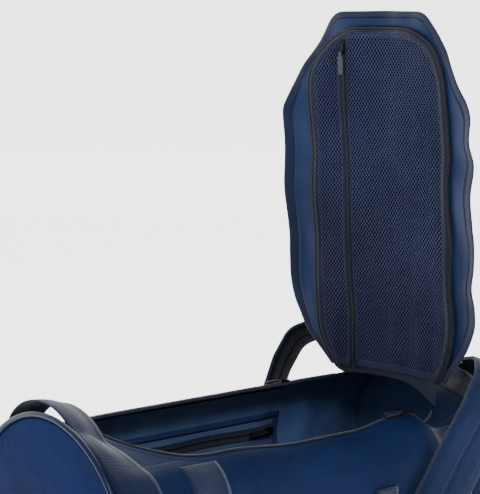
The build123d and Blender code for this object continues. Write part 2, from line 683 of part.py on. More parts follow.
STRAP_PIECES = {
    "shoulder_strap": ribbon(STRAP_ARCH, STRAP_ARCH_RADII, STRAP_WIDTH, STRAP_PAD),
    "strap_top_webbing": ribbon(STRAP_TOP_WEBBING, [60, 60], STRAP_WEBBING_WIDTH, WEBBING),
    "strap_low_webbing": ribbon(STRAP_LOW_WEBBING, [400], STRAP_WEBBING_WIDTH, WEBBING),
    "strap_locks": Compound(
        children=[
            lock_on(STRAP_TOP_WEBBING[1], STRAP_TOP_WEBBING[2]),
            lock_on(STRAP_LOW_WEBBING[0], STRAP_LOW_WEBBING[1]),
        ]
    ),
}
for name, strap_piece in STRAP_PIECES.items():
    for side, place in ((-1, "front"), (1, "back")):
        with BuildPart() as piece:
            add(strap_piece)
            if side > 0:
                mirror(about=Plane.XZ, mode=Mode.REPLACE)
        finish(piece, f"{place}_{name}")
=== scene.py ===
# %% [markdown]
# # A travel duffel with its lid standing open
#
# This lesson dresses a frame of rigid solids as a soft bag. The frame holds every size,
# place and joint. Here the cloth gets its sag, the mesh its holes, the zips their teeth
# and the webbing its weave.

import json
import math

import bmesh
import bpy
import numpy as np
from mathutils import Matrix, Vector, noise


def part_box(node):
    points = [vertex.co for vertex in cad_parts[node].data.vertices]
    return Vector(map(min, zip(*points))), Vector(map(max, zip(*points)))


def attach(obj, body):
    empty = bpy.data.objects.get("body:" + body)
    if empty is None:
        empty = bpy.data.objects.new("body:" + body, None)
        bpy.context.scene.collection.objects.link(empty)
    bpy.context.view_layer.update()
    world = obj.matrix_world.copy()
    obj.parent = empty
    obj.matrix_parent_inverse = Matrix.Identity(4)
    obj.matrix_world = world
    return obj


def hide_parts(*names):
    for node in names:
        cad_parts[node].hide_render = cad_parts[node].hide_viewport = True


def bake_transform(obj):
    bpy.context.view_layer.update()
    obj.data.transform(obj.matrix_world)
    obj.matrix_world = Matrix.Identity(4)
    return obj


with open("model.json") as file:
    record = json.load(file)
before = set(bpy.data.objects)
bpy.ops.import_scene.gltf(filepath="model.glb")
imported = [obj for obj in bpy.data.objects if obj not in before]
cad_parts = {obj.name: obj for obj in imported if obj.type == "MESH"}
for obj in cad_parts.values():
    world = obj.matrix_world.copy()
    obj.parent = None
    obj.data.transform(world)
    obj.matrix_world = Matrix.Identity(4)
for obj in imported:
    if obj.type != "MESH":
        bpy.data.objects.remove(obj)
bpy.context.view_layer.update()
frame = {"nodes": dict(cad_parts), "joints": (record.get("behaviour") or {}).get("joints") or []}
print("solids in the frame:", len(frame["nodes"]))

# %% [markdown]
# ## Sizes
#
# Everything is in metres. Overall sizes come from the frame's boxes. The rounding radii of
# the bag's cross-section are named here, because a box doesn't hold them.

# %% Sizes of the body
wall_low, wall_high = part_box("front_wall")
HALF_LENGTH = wall_high.x
HALF_WIDTH = -wall_low.y
TURN_UP = wall_low.z
RIM_Y = -wall_high.y
END_LOW, END_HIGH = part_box("left_end_panel")
MID_HALF = 0.272
HEEL = 0.030
MID = dict(w=HALF_WIDTH, h=0.276, crown=0.480, shoulder=0.050, floor=0.0)
END = dict(w=END_HIGH.y, h=END_HIGH.z, crown=0.170, shoulder=0.115, floor=END_LOW.z)
CLOTH = 0.0012
print("body half sizes", round(HALF_LENGTH, 3), round(HALF_WIDTH, 3), "rim at", round(RIM_Y, 3))

# %% Sizes of the opening and the lid
lid_joint = next(j for j in frame["joints"] if j["name"] == "lid_hinge")
HINGE = Vector(lid_joint["pos_m"])
LID_ANGLE = -math.radians(lid_joint["range_deg"][0])
LID_TURN = np.array(Matrix.Rotation(LID_ANGLE, 3, Vector(lid_joint["axis"])))
ZIP_SIDE = RIM_Y - 0.001
ZIP_TIP = -0.250
TIP_RADIUS = 0.085
HINGE_SIDE = 0.088
FLARE_START = HINGE.x - 0.080
CORNER = (ZIP_TIP + TIP_RADIUS, ZIP_SIDE - TIP_RADIUS)
FLARE_RADIUS = (0.080**2 + (ZIP_SIDE - HINGE_SIDE) ** 2) / (2 * (ZIP_SIDE - HINGE_SIDE))
FLARE_CENTRE = (FLARE_START, ZIP_SIDE - FLARE_RADIUS)
LID_END = HINGE.x - 0.004
BINDING = 0.011
print("the lid stands open by", round(math.degrees(LID_ANGLE), 1), "degrees")

# %% [markdown]
# ## Camera, light and floor
#
# The bag is seen from its front left and a little above. A long lens keeps the lid's sides
# nearly parallel. Soft lamps and a bright sky stand in for a white studio tent.

# %% Camera
AZIMUTH = math.radians(-39)
DISTANCE = 2.153
EYE_HEIGHT = 0.791
LOOK_DOWN = 0.1434
LOOK_ASIDE = 0.0107
LENS = 123
ahead = Vector((-math.sin(AZIMUTH), math.cos(AZIMUTH), 0))
right = Vector((math.cos(AZIMUTH), math.sin(AZIMUTH), 0))
aim = ahead - right * LOOK_ASIDE - Vector((0, 0, LOOK_DOWN))
camera_data = bpy.data.cameras.new("camera")
camera_data.lens = LENS
camera = bpy.data.objects.new("camera", camera_data)
camera.location = -ahead * DISTANCE + Vector((0, 0, EYE_HEIGHT))
camera.rotation_euler = aim.to_track_quat("-Z", "Y").to_euler()
bpy.context.scene.collection.objects.link(camera)
bpy.context.scene.camera = camera


# %% Lamps, sky and floor
def lamp(name, place, size, watts):
    data = bpy.data.lights.new(name, "AREA")
    data.shape = "SQUARE"
    data.size = size
    data.energy = watts
    light = bpy.data.objects.new(name, data)
    light.location = place
    light.rotation_euler = (BAG_MIDDLE - Vector(place)).to_track_quat("-Z", "Y").to_euler()
    bpy.context.scene.collection.objects.link(light)


BAG_MIDDLE = Vector((0, 0, 0.3))
lamp("key", (0.2, -2.2, 3.0), 1.4, 80)
lamp("back", (1.0, 2.2, 2.4), 1.6, 12)
lamp("front", (-1.0, -1.5, 2.0), 0.7, 26)

sky = bpy.data.worlds.new("sky")
sky.use_nodes = True
sky.node_tree.nodes["Background"].inputs["Color"].default_value = (1, 1, 1, 1)
sky.node_tree.nodes["Background"].inputs["Strength"].default_value = 0.75
bpy.context.scene.world = sky

# A paper sweep: flat under the bag, then curling up far behind it.
FLOOR_NEAR, FLOOR_FAR, CURL, WALL_TOP, FLOOR_SIDE = -15, 6, 3, 12, 20
curl = np.linspace(0, math.pi / 2, 24)
profile = [(FLOOR_NEAR, 0)] + [(FLOOR_FAR + CURL * math.sin(a), CURL * (1 - math.cos(a))) for a in curl]
profile.append((FLOOR_FAR + CURL, WALL_TOP))
edges = (-FLOOR_SIDE, FLOOR_SIDE)
sweep = [tuple(ahead * run + right * side + Vector((0, 0, z))) for run, z in profile for side in edges]
floor_mesh = bpy.data.meshes.new("floor")
floor_mesh.from_pydata(sweep, [], [(2 * k, 2 * k + 1, 2 * k + 3, 2 * k + 2) for k in range(len(profile) - 1)])
floor_mesh.polygons.foreach_set("use_smooth", [True] * len(floor_mesh.polygons))
floor = bpy.data.objects.new("floor", floor_mesh)
bpy.context.scene.collection.objects.link(floor)
print("lamps and floor placed")

# %% [markdown]
# ## Materials
#
# The cloths share one builder. Its threads are two crossed wave textures on a map laid
# out in metres, so a weave keeps its scale on every panel. A soft noise varies the colour,
# and a stretched, ridged noise makes creases.


# %% A builder for woven and coated cloth
DYE = 0.19


def srgb(r, g, b):
    """A colour named in 0-255 as linear light, darkened for a brightly lit studio."""
    def linear(c):
        c = c / 255
        return c / 12.92 if c <= 0.04045 else ((c + 0.055) / 1.055) ** 2.4
    return (linear(r) * DYE, linear(g) * DYE, linear(b) * DYE, 1)


def blank(name):
    mat = bpy.data.materials.new(name)
    mat.use_nodes = True
    return mat, mat.node_tree.nodes, mat.node_tree.links, mat.node_tree.nodes["Principled BSDF"]


def value_node(nodes, kind, **inputs):
    node = nodes.new(kind)
    for key, value in inputs.items():
        node.inputs[key.replace("_", " ")].default_value = value
    return node


def mix_colours(nodes, links, factor, first, second):
    ramp = nodes.new("ShaderNodeValToRGB")
    ramp.color_ramp.elements[0].color = first
    ramp.color_ramp.elements[0].position = 0.32
    ramp.color_ramp.elements[1].color = second
    ramp.color_ramp.elements[1].position = 0.72
    links.new(factor, ramp.inputs["Fac"])
    return ramp.outputs["Color"]


def threads(nodes, links, per_metre, axis):
    """Ridges of one set of threads on the metre map."""
    place = nodes.new("ShaderNodeTexCoord")
    wave = value_node(nodes, "ShaderNodeTexWave", Scale=per_metre / 6.283 * 2, Distortion=0.0)
    wave.bands_direction = axis
    links.new(place.outputs["UV"], wave.inputs["Vector"])
    return wave.outputs["Fac"]


def cloth(name, light, dark, per_metre=900, weave=0.1, crease=0.4, rough=0.5, coat=0.0,
          sheen=0.0, crease_size=16, patch=9, gloss=0.11, ior=1.45):
    """Woven cloth. weave and crease are bump depths in millimetres."""
    mat, nodes, links, bsdf = blank(name)
    place = nodes.new("ShaderNodeTexCoord")
    tone = value_node(nodes, "ShaderNodeTexNoise", Scale=patch, Detail=6.0, Roughness=0.6)
    links.new(place.outputs["Object"], tone.inputs["Vector"])
    links.new(mix_colours(nodes, links, tone.outputs["Fac"], dark, light), bsdf.inputs["Base Color"])
    fold = value_node(nodes, "ShaderNodeTexNoise", Scale=crease_size, Detail=5.0, Distortion=1.2)
    links.new(place.outputs["Object"], fold.inputs["Vector"])
    ridge = nodes.new("ShaderNodeMath")
    ridge.operation = "PINGPONG"
    ridge.inputs[1].default_value = 0.22
    links.new(fold.outputs["Fac"], ridge.inputs[0])
    low = value_node(nodes, "ShaderNodeBump", Strength=1.0, Distance=crease / 1000 * 4)
    links.new(ridge.outputs[0], low.inputs["Height"])
    both = nodes.new("ShaderNodeMath")
    both.operation = "MULTIPLY"
    links.new(threads(nodes, links, per_metre, "X"), both.inputs[0])
    links.new(threads(nodes, links, per_metre, "Y"), both.inputs[1])
    high = value_node(nodes, "ShaderNodeBump", Strength=1.0, Distance=weave / 1000)
    links.new(both.outputs[0], high.inputs["Height"])
    links.new(low.outputs["Normal"], high.inputs["Normal"])
    links.new(high.outputs["Normal"], bsdf.inputs["Normal"])
    shine = nodes.new("ShaderNodeMapRange")
    shine.inputs["To Min"].default_value = rough - 0.07
    shine.inputs["To Max"].default_value = rough + 0.1
    links.new(tone.outputs["Fac"], shine.inputs["Value"])
    links.new(shine.outputs["Result"], bsdf.inputs["Roughness"])
    bsdf.inputs["Specular IOR Level"].default_value = gloss
    bsdf.inputs["IOR"].default_value = ior
    bsdf.inputs["Specular Tint"].default_value = (0.4, 0.55, 1.0, 1)
    bsdf.inputs["Coat Weight"].default_value = coat
    bsdf.inputs["Coat Roughness"].default_value = 0.28
    bsdf.inputs["Sheen Weight"].default_value = sheen
    return mat


# %% [markdown]
# The body and flap are a blue tarpaulin: polyester scrim under a film, soft and slightly
# glossy. The ends are the same cloth with a shinier film. Lining and mesh are plain nylon.

# %% The cloths
MATERIAL = {
    "body_tarp": cloth("body_tarp", srgb(34, 62, 122), srgb(20, 42, 92), 700, 0.16, 0.35, 0.62),
    "flap_tarp": cloth("flap_tarp", srgb(36, 64, 124), srgb(22, 46, 98), 700, 0.16, 0.3, 0.4, gloss=0.4),
    "base_tarp": cloth("base_tarp", srgb(28, 50, 100), srgb(16, 34, 76), 500, 0.25, 0.3, 0.5, 0.1),
    "end_tarp": cloth("end_tarp", srgb(14, 64, 150), srgb(8, 46, 118), 700, 0.1, 0.3, 0.36,
                      gloss=0.10, ior=1.16),
    # painted light: the bag's lining is a much lighter blue than the same nylon on the lid, to make up for the shade
    # inside the bag
    "lining": cloth("lining", srgb(158, 196, 255), srgb(118, 152, 236), 1100, 0.08, 0.7, 0.6, 0.0, 0.1, 22),
    "mesh": cloth("mesh", srgb(140, 150, 222), srgb(108, 118, 184), 1800, 0.12, 0.0, 0.7, 0.0, 0.2),
    "binding": cloth("binding", srgb(48, 66, 118), srgb(34, 50, 96), 900, 0.35, 0.1, 0.62, 0.0, 0.2),
    # painted light: a lighter copy of the binding, for the pocket's binding in the shade inside the bag
    "pocket_binding": cloth("pocket_binding", srgb(104, 130, 200), srgb(76, 98, 164), 900, 0.35, 0.1, 0.62),
    "edging": cloth("edging", srgb(36, 48, 88), srgb(22, 32, 64), 900, 0.35, 0.1, 0.62, 0.0, 0.2),
    "zip_tape": cloth("zip_tape", srgb(34, 48, 92), srgb(22, 34, 70), 1300, 0.25, 0.0, 0.66, 0.0, 0.15),
    "webbing": cloth("webbing", srgb(40, 60, 112), srgb(24, 40, 84), 420, 0.5, 0.05, 0.55, 0.0, 0.15),
    "black_webbing": cloth("black_webbing", srgb(26, 27, 30), srgb(13, 14, 16), 420, 0.5, 0.05, 0.7),
    "strap_pad": cloth("strap_pad", srgb(36, 60, 116), srgb(24, 44, 92), 700, 0.2, 0.35, 0.52, 0.05, 0.1),
    "air_mesh": cloth("air_mesh", srgb(14, 17, 28), srgb(5, 6, 10), 330, 0.8, 0.1, 0.9),
    "grip": cloth("grip", srgb(34, 56, 108), srgb(22, 40, 84), 800, 0.25, 0.3, 0.55, 0.0, 0.1),
    "piping": cloth("piping", srgb(36, 58, 110), srgb(22, 40, 86), 900, 0.2, 0.1, 0.42, 0.2),
    "thread": cloth("thread", srgb(70, 86, 132), srgb(52, 66, 108), 3000, 0.05, 0.0, 0.5),
    "foam": cloth("foam", srgb(70, 72, 78), srgb(52, 54, 60), 500, 0.3, 0.2, 0.9),
    "board": cloth("board", srgb(52, 56, 66), srgb(36, 40, 50), 300, 0.3, 0.1, 0.7),
}


def hard(name, light, dark, rough, metal=0.0, grain=700, depth=0.03):
    """Moulded plastic, nylon coil or plated metal: a fine grain and worn patches."""
    mat, nodes, links, bsdf = blank(name)
    place = nodes.new("ShaderNodeTexCoord")
    tone = value_node(nodes, "ShaderNodeTexNoise", Scale=60.0, Detail=5.0)
    links.new(place.outputs["Object"], tone.inputs["Vector"])
    links.new(mix_colours(nodes, links, tone.outputs["Fac"], dark, light), bsdf.inputs["Base Color"])
    fine = value_node(nodes, "ShaderNodeTexNoise", Scale=grain, Detail=3.0)
    links.new(place.outputs["Object"], fine.inputs["Vector"])
    bump = value_node(nodes, "ShaderNodeBump", Strength=1.0, Distance=depth / 1000)
    links.new(fine.outputs["Fac"], bump.inputs["Height"])
    links.new(bump.outputs["Normal"], bsdf.inputs["Normal"])
    shine = nodes.new("ShaderNodeMapRange")
    shine.inputs["To Min"].default_value = rough - 0.08
    shine.inputs["To Max"].default_value = rough + 0.12
    links.new(tone.outputs["Fac"], shine.inputs["Value"])
    links.new(shine.outputs["Result"], bsdf.inputs["Roughness"])
    bsdf.inputs["Metallic"].default_value = metal
    return mat


# painted shade: a much darker copy of the lining's nylon, for the lid's lining seen between the mesh strands
MATERIAL["lining_shade"] = cloth("lining_shade", srgb(26, 34, 66), srgb(16, 22, 46), 1100, 0.08, 0.5, 0.7)
MATERIAL["zip_coil"] = hard("zip_coil", srgb(30, 38, 66), srgb(16, 22, 42), 0.4)
MATERIAL["black_plastic"] = hard("black_plastic", srgb(30, 31, 34), srgb(17, 18, 20), 0.42, 0.0, 1500, 0.06)
MATERIAL["slider_metal"] = hard("slider_metal", srgb(70, 76, 92), srgb(36, 40, 54), 0.36, 0.8)
MATERIAL["pull_tab"] = hard("pull_tab", srgb(40, 54, 104), srgb(22, 32, 70), 0.5)
paper = hard("floor_paper", (0.95, 0.95, 0.95, 1), (0.92, 0.92, 0.93, 1), 0.85)
glow = paper.node_tree.nodes["Principled BSDF"]
glow.inputs["Emission Color"].default_value = (1, 1, 1, 1)
glow.inputs["Emission Strength"].default_value = 2.0
floor.data.materials.append(paper)
print("materials:", len(MATERIAL))

# %% [markdown]
# ## The bag's skin
#
# The body is one long tube, nearly flat on top in the middle and domed at both ends. One
# formula gives the skin at a place along the bag, `x`, and a step round half the section,
# `s`: floor 0-1, heel 1-2, wall 2-3, shoulder 3-4, crown 4-5. Each layer asks for the same
# skin at its own height, so tape stays on cloth and cloth on lining.


# %% The skin's formula
def half_section(size, s, grow):
    """(y, z) round half of one section, for arrays of steps and heights."""
    middle = size["h"] - size["crown"]
    reach = size["w"] - size["shoulder"]
    shoulder_z = middle + math.sqrt((size["crown"] - size["shoulder"]) ** 2 - reach**2)
    lean = math.atan2(shoulder_z - middle, reach)
    flat = size["w"] - HEEL
    heel_z = size["floor"] + HEEL
    turn = np.clip(s - 1, 0, 1) * math.pi / 2
    round_shoulder = np.clip(s - 3, 0, 1) * lean
    over = lean + np.clip(s - 4, 0, 1) * (math.pi / 2 - lean)
    cases = [s < 1, s < 2, s < 3, s < 4]
    y = np.select(cases, [
        s * flat,
        flat + (HEEL + grow) * np.sin(turn),
        size["w"] + grow,
        reach + (size["shoulder"] + grow) * np.cos(round_shoulder),
    ], (size["crown"] + grow) * np.cos(over))
    z = np.select(cases, [
        size["floor"] - grow,
        heel_z - (HEEL + grow) * np.cos(turn),
        heel_z + (s - 2) * (shoulder_z - heel_z),
        shoulder_z + (size["shoulder"] + grow) * np.sin(round_shoulder),
    ], middle + (size["crown"] + grow) * np.sin(over))
    return y, z


def section(x, s, grow):
    share = np.clip((np.abs(x) - MID_HALF) / (HALF_LENGTH - MID_HALF), 0, 1)
    y0, z0 = half_section(MID, s, grow)
    y1, z1 = half_section(END, s, grow)
    return y0 + (y1 - y0) * share, z0 + (z1 - z0) * share


def step_at(x, low, high, test):
    """The step where a rising test of (y, z) reaches zero, by halving."""
    a = np.full(np.shape(x), float(low))
    b = np.full(np.shape(x), float(high))
    for _ in range(26):
        mid = (a + b) / 2
        above = test(*section(x, mid, 0.0)) > 0
        b = np.where(above, mid, b)
        a = np.where(above, a, mid)
    return (a + b) / 2


def step_at_y(x, y):
    return step_at(x, 3, 5, lambda yy, zz: y - yy)


def step_at_z(x, z):
    return step_at(x, 1, 3, lambda yy, zz: zz - z)


def wrinkle(points, scale, seed):
    """Smooth noise from -1 to 1 at each point."""
    flat = points.reshape(-1, 3) * scale + seed
    values = [noise.noise(Vector(p)) for p in flat.tolist()]
    return np.array(values).reshape(points.shape[:-1])


def smooth(a, b, value):
    t = np.clip((value - a) / (b - a), 0, 1)
    return t * t * (3 - 2 * t)


# %% [markdown]
# Coated cloth isn't smooth. It bellies out between its seams, creases across the load and
# puckers. The same swell moves every layer of a wall. It dies away at the zip line and
# under the handles, where real hardware sits on the cloth. The near rim also sags, but not
# where its slider is parked at either end, because the slider stays where the frame has it.


# %% How the cloth settles
SAG_MIDDLE = 0.010     # of the near rim, between the two stops of its slider
SAG_BY_HINGE = 0.024   # of the near rim, past the place where the slider is parked


def settle(x, y, z):
    """Extra height of the skin at a place, the same for every layer."""
    points = np.stack([x, y, z], axis=-1)
    along = 0.0060 * wrinkle(points * [1.0, 0.55, 0.8], 9.0, 3.1)
    creases = 0.0065 * (0.22 - np.abs(wrinkle(points * [1.0, 0.5, 0.35], 15.0, 4.7)))
    fine = creases + 0.0026 * wrinkle(points * [1.2, 0.6, 0.7], 26.0, 8.2)
    tiny = 0.0008 * wrinkle(points, 62.0, 5.5)
    wall = smooth(0.10, 0.16, np.abs(y)) * smooth(0.30, 0.18, z)
    belly = 0.004 * wall * np.sin(np.clip(z / 0.21, 0, 1) * math.pi)
    deck = smooth(0.20, 0.25, z)
    rim = smooth(0.0, 0.035, np.abs(np.abs(y) - ZIP_SIDE)) * deck + (1 - deck)
    floor_fade = smooth(0.015, 0.07, z)
    patches = 1 - 0.93 * smooth(0.14, 0.10, np.abs(x)) * smooth(0.06, 0.10, z) * (1 - deck)
    ends = smooth(0.0, 0.03, HALF_LENGTH - np.abs(x))
    near = smooth(-0.03, -0.105, y) * smooth(0.17, 0.25, z)
    middle = SAG_MIDDLE * smooth(-0.145, -0.03, x) * smooth(0.132, 0.06, x)
    sag = -(middle + SAG_BY_HINGE * smooth(0.152, 0.205, x)) * near * smooth(0.275, 0.225, x)
    flap_place = smooth(0.215, 0.245, z) * smooth(0.19, 0.165, np.abs(y)) * smooth(0.30, 0.27, np.abs(x))
    under_flap = 1 - 0.65 * flap_place
    swell = (along + fine + tiny + belly) * under_flap * (0.05 + 0.95 * rim)
    return swell * floor_fade * patches * ends + sag


def skin(x, s, side, grow):
    """Points of a layer of the body at height grow above the outer face."""
    y, z = section(x, s, 0.0)
    swell = settle(x, side * y, z)
    y, z = section(x, s, grow + swell)
    return np.stack([x, side * y, z], axis=-1)


def skin_top(x, y, grow):
    return skin(x, step_at_y(x, np.abs(y)), np.where(y < 0, -1.0, 1.0), grow)


LOWEST_LIFT = -0.0002   # the lid's waves may not dip into the rim when it shuts
LIFT_EASE = 0.0008


def lid_skin(x, y, grow):
    """Points of a lid layer: its closed shape on the bag, then turned open."""
    s = step_at_y(np.zeros_like(x), np.abs(y))
    flat = np.stack([x, y, 0 * x], axis=-1)
    edge = smooth(ZIP_SIDE - 0.03, ZIP_SIDE + 0.03, np.abs(y)) + smooth(ZIP_TIP + 0.06, ZIP_TIP, x)
    free = smooth(HINGE.x, HINGE.x - 0.10, x)
    wave = 0.0050 * (0.3 + wrinkle(flat, 8.0, 1.7)) + 0.0105 * edge * (0.4 + wrinkle(flat, 13.0, 6.1))
    wave = wave + 0.0032 * edge * wrinkle(flat, 31.0, 0.4)
    lift = wave * free
    lift = np.logaddexp((lift - LOWEST_LIFT) / LIFT_EASE, 0) * LIFT_EASE + LOWEST_LIFT
    y_out, z = section(np.zeros_like(x), s, grow + lift)
    each_side = flat * [1, 0.1, 1] + np.sign(flat) * [0, 9, 0]
    spread = (0.0020 + 0.0050 * edge) * free * wrinkle(each_side, 15.0, 2.9)
    y_out = y_out + spread * smooth(0.03, 0.10, np.abs(y))
    closed = np.stack([x, np.where(y < 0, -y_out, y_out), z], axis=-1)
    return (closed - np.array(HINGE)) @ LID_TURN.T + np.array(HINGE)


print("crown", skin_top(np.array([0.0]), np.array([0.0]), 0.0)[0].round(3))

# %% [markdown]
# ## Sheets, ribbons and stitches
#
# A piece of cloth is a grid of points with a map in metres. Ribbons are swept along a line
# with rounded edges. A stitch is a short fat thread lying just above its seam.


# %% Turning points into pieces
PIECES = {}


def new_piece(name, vertices, faces, material, body, uv=None, smooth_faces=True):
    mesh = bpy.data.meshes.new(name)
    mesh.from_pydata([tuple(v) for v in vertices], [], [tuple(f) for f in faces])
    if uv is not None:
        layer = mesh.uv_layers.new(name="metres")
        loops = np.empty(len(mesh.loops), dtype=np.int32)
        mesh.loops.foreach_get("vertex_index", loops)
        layer.data.foreach_set("uv", np.asarray(uv)[loops].astype(np.float32).ravel())
    mesh.polygons.foreach_set("use_smooth", [smooth_faces] * len(mesh.polygons))
    mesh.materials.append(MATERIAL[material])
    piece = bpy.data.objects.new(name, mesh)
    bpy.context.scene.collection.objects.link(piece)
    if body:
        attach(piece, body)
    PIECES[name] = piece
    return piece


def grid_faces(rows, columns, wrap=False):
    i, j = np.meshgrid(np.arange(rows - 1), np.arange(columns if wrap else columns - 1), indexing="ij")
    k = (j + 1) % columns
    here, below = i * columns, (i + 1) * columns
    return np.stack([here + j, below + j, below + k, here + k], -1).reshape(-1, 4)


def metre_map(points):
    """Lengths along and across a grid, as a map."""
    down = np.linalg.norm(np.diff(points, axis=0), axis=-1).mean(axis=1)
    across = np.linalg.norm(np.diff(points, axis=1), axis=-1).mean(axis=0)
    v = np.concatenate([[0], np.cumsum(down)])
    u = np.concatenate([[0], np.cumsum(across)])
    return np.stack(np.meshgrid(v, u, indexing="ij"), axis=-1).reshape(-1, 2)


def cloth_grid(name, points, material, body="bag", thick=CLOTH, inward=True, subdivide=0, weld=False):
    """A sheet of cloth from a grid of points; its points are its outer face."""
    rows, columns = points.shape[:2]
    piece = new_piece(name, points.reshape(-1, 3), grid_faces(rows, columns), material, body, metre_map(points))
    if weld:
        mesh = bmesh.new()
        mesh.from_mesh(piece.data)
        bmesh.ops.remove_doubles(mesh, verts=mesh.verts, dist=1e-5)
        mesh.to_mesh(piece.data)
        mesh.free()
    if thick:
        solid = piece.modifiers.new("thickness", "SOLIDIFY")
        solid.thickness = thick
        solid.offset = -1 if inward else 1
    if subdivide:
        bend = piece.modifiers.new("smooth", "SUBSURF")
        bend.levels = bend.render_levels = subdivide
    return piece


def surface_area(points):
    a = points[1:, :-1] - points[:-1, :-1]
    b = points[:-1, 1:] - points[:-1, :-1]
    return float(np.linalg.norm(np.cross(a, b), axis=-1).sum())


def declare_sheet(piece, points, area=None):
    """The flat cut is as long and wide as the sheet measured along its own surface."""
    width = float(np.linalg.norm(np.diff(points, axis=0), axis=-1).sum(axis=0).max())
    length = float(np.linalg.norm(np.diff(points, axis=1), axis=-1).sum(axis=1).max())
    cut = area or surface_area(points)
    cut = min(max(cut, 0.31 * width * length), width * length)
    print(piece.name, "flat", round(width, 3), "x", round(length, 3), "m")


def run_along(line):
    """Length walked at each point of a line."""
    return np.concatenate([[0], np.cumsum(np.linalg.norm(np.diff(line, axis=0), axis=1))])


def respaced(line, spots, run=None):
    """Points of a line at the given lengths along it."""
    run = run_along(line) if run is None else run
    return np.stack([np.interp(spots, run, line[:, k]) for k in range(line.shape[1])], -1)


def frames(line, across):
    """Unit directions along, across and out of a line."""
    along = np.gradient(line, axis=0)
    along /= np.linalg.norm(along, axis=1, keepdims=True)
    across = np.broadcast_to(across, line.shape)
    across = across - along * (across * along).sum(1, keepdims=True)
    across = across / np.linalg.norm(across, axis=1, keepdims=True)
    return along, across, np.cross(across, along)


def swept(name, line, across, profile, material, body="bag"):
    """A closed profile of (across, out) pairs carried along a line, with capped ends."""
    _, wide, out = frames(line, across)
    profile = np.asarray(profile)
    rings = line[:, None] + wide[:, None] * profile[None, :, :1] + out[:, None] * profile[None, :, 1:]
    rows, columns = rings.shape[:2]
    faces = [list(f) for f in grid_faces(rows, columns, wrap=True)]
    faces.append(list(range(columns)))
    faces.append([(rows - 1) * columns + k for k in range(columns - 1, -1, -1)])
    uv = np.stack(np.meshgrid(run_along(line), run_along(profile), indexing="ij"), -1).reshape(-1, 2)
    return new_piece(name, rings.reshape(-1, 3), faces, material, body, uv)


def flat_profile(width, thick, steps=8, crown=0.0):
    """A ribbon's section: round edges, and a face that may swell by crown."""
    across = np.linspace(-1, 1, steps)
    edge = 1 - np.abs(across) ** 6 * 0.75
    top = np.stack([across * width / 2, thick / 2 * edge + crown * (1 - across**2)], -1)
    return np.concatenate([top, top[::-1] * [1, -1]])


STITCH_SPAN = [0.14, 0.86]   # the part of each pitch that the thread covers
STITCH_HUMP = 0.28           # where it stands highest, from its middle


def stitches(name, lines, material="thread", body="bag", pitch=0.0042, lift=0.0002, radius=0.00035):
    """Short raised threads along lines; each line is (points, out direction)."""
    vertices, faces = [], []
    for line, out in lines:
        line = np.asarray(line, dtype=float)
        run = run_along(line)
        count = max(int(run[-1] / pitch), 1)
        spots = (np.arange(count)[:, None] + STITCH_SPAN) * run[-1] / count
        ends = respaced(line, spots, run)
        normal = respaced(np.broadcast_to(out, line.shape), spots.mean(1), run)
        normal /= np.linalg.norm(normal, axis=1, keepdims=True)
        along = ends[:, 1] - ends[:, 0]
        side = np.cross(along, normal)
        side /= np.linalg.norm(side, axis=1, keepdims=True)
        middle = ends.mean(1) + normal * (lift + radius)
        for e0, e1, m, n, s in zip(ends[:, 0], ends[:, 1], middle, normal, side):
            base = len(vertices)
            vertices += [e0, e1]
            for shift in (-STITCH_HUMP, STITCH_HUMP):
                centre = m + (e1 - e0) * shift
                vertices += [centre + s * radius, centre + n * radius, centre - s * radius, centre - n * radius]
            a, b = base + 2, base + 6
            for k in range(4):
                nxt = (k + 1) % 4
                faces += [(base, a + k, a + nxt), (a + k, b + k, b + nxt, a + nxt), (base + 1, b + nxt, b + k)]
    return new_piece(name, vertices, faces, material, body)


print("helpers ready")

# %% [markdown]
# ## The body panels
#
# The tarpaulin is cut as a base that turns up the walls, two walls that run over the
# shoulders to the zip, a deck at each end and two end panels. Real bags sew these inside
# out. Here they're neighbouring grids that meet on the same skin, with raised seams.

# %% Base and walls
ROWS, COLUMNS = 150, 60


def band_of_skin(x_range, low_step, high_step, side, grow, rows=ROWS, columns=COLUMNS):
    """Part of one wall between two steps; the steps may change along x."""
    x = np.linspace(*x_range, rows)[:, None] * np.ones((1, columns))
    share = np.linspace(0, 1, columns)[None, :]
    s = low_step(x) + (high_step(x) - low_step(x)) * share
    return skin(x, s, side, grow)


def turn_up_step(x):
    return step_at_z(x, np.full_like(x, TURN_UP))


def rim_step(x):
    return step_at_y(x, np.full_like(x, RIM_Y))


BODY_X = (-HALF_LENGTH, HALF_LENGTH)
halves = [band_of_skin(BODY_X, lambda x: 0 * x, turn_up_step, side, 0.0, columns=26) for side in (-1, 1)]
base_points = np.concatenate([halves[0][:, :0:-1], halves[1]], axis=1)
base = cloth_grid("base_cloth", base_points, "base_tarp", inward=False)
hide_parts("base_panel")
declare_sheet(base, base_points)
wall_cloth = {}
for side, name in ((-1, "front"), (1, "back")):
    points = band_of_skin(BODY_X, turn_up_step, rim_step, side, 0.0, 190, 80)
    wall_cloth[name] = cloth_grid(f"{name}_wall_cloth", points, "body_tarp", inward=side > 0)
    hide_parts(f"{name}_wall")
    declare_sheet(wall_cloth[name], points)


# %% Decks at both ends of the opening
def zip_reach(y, grow):
    """Where the opening's outline crosses a line at y: towards the tip, towards the hinge."""
    y = np.abs(y)
    over = np.clip(y - CORNER[1], 0, TIP_RADIUS + grow)
    tip = CORNER[0] - np.sqrt((TIP_RADIUS + grow) ** 2 - over**2)
    rise = np.clip(y - FLARE_CENTRE[1], 0, FLARE_RADIUS + grow)
    flare = FLARE_START + np.sqrt(np.maximum((FLARE_RADIUS + grow) ** 2 - rise**2, 0))
    return tip, np.minimum(flare, HINGE.x + grow)


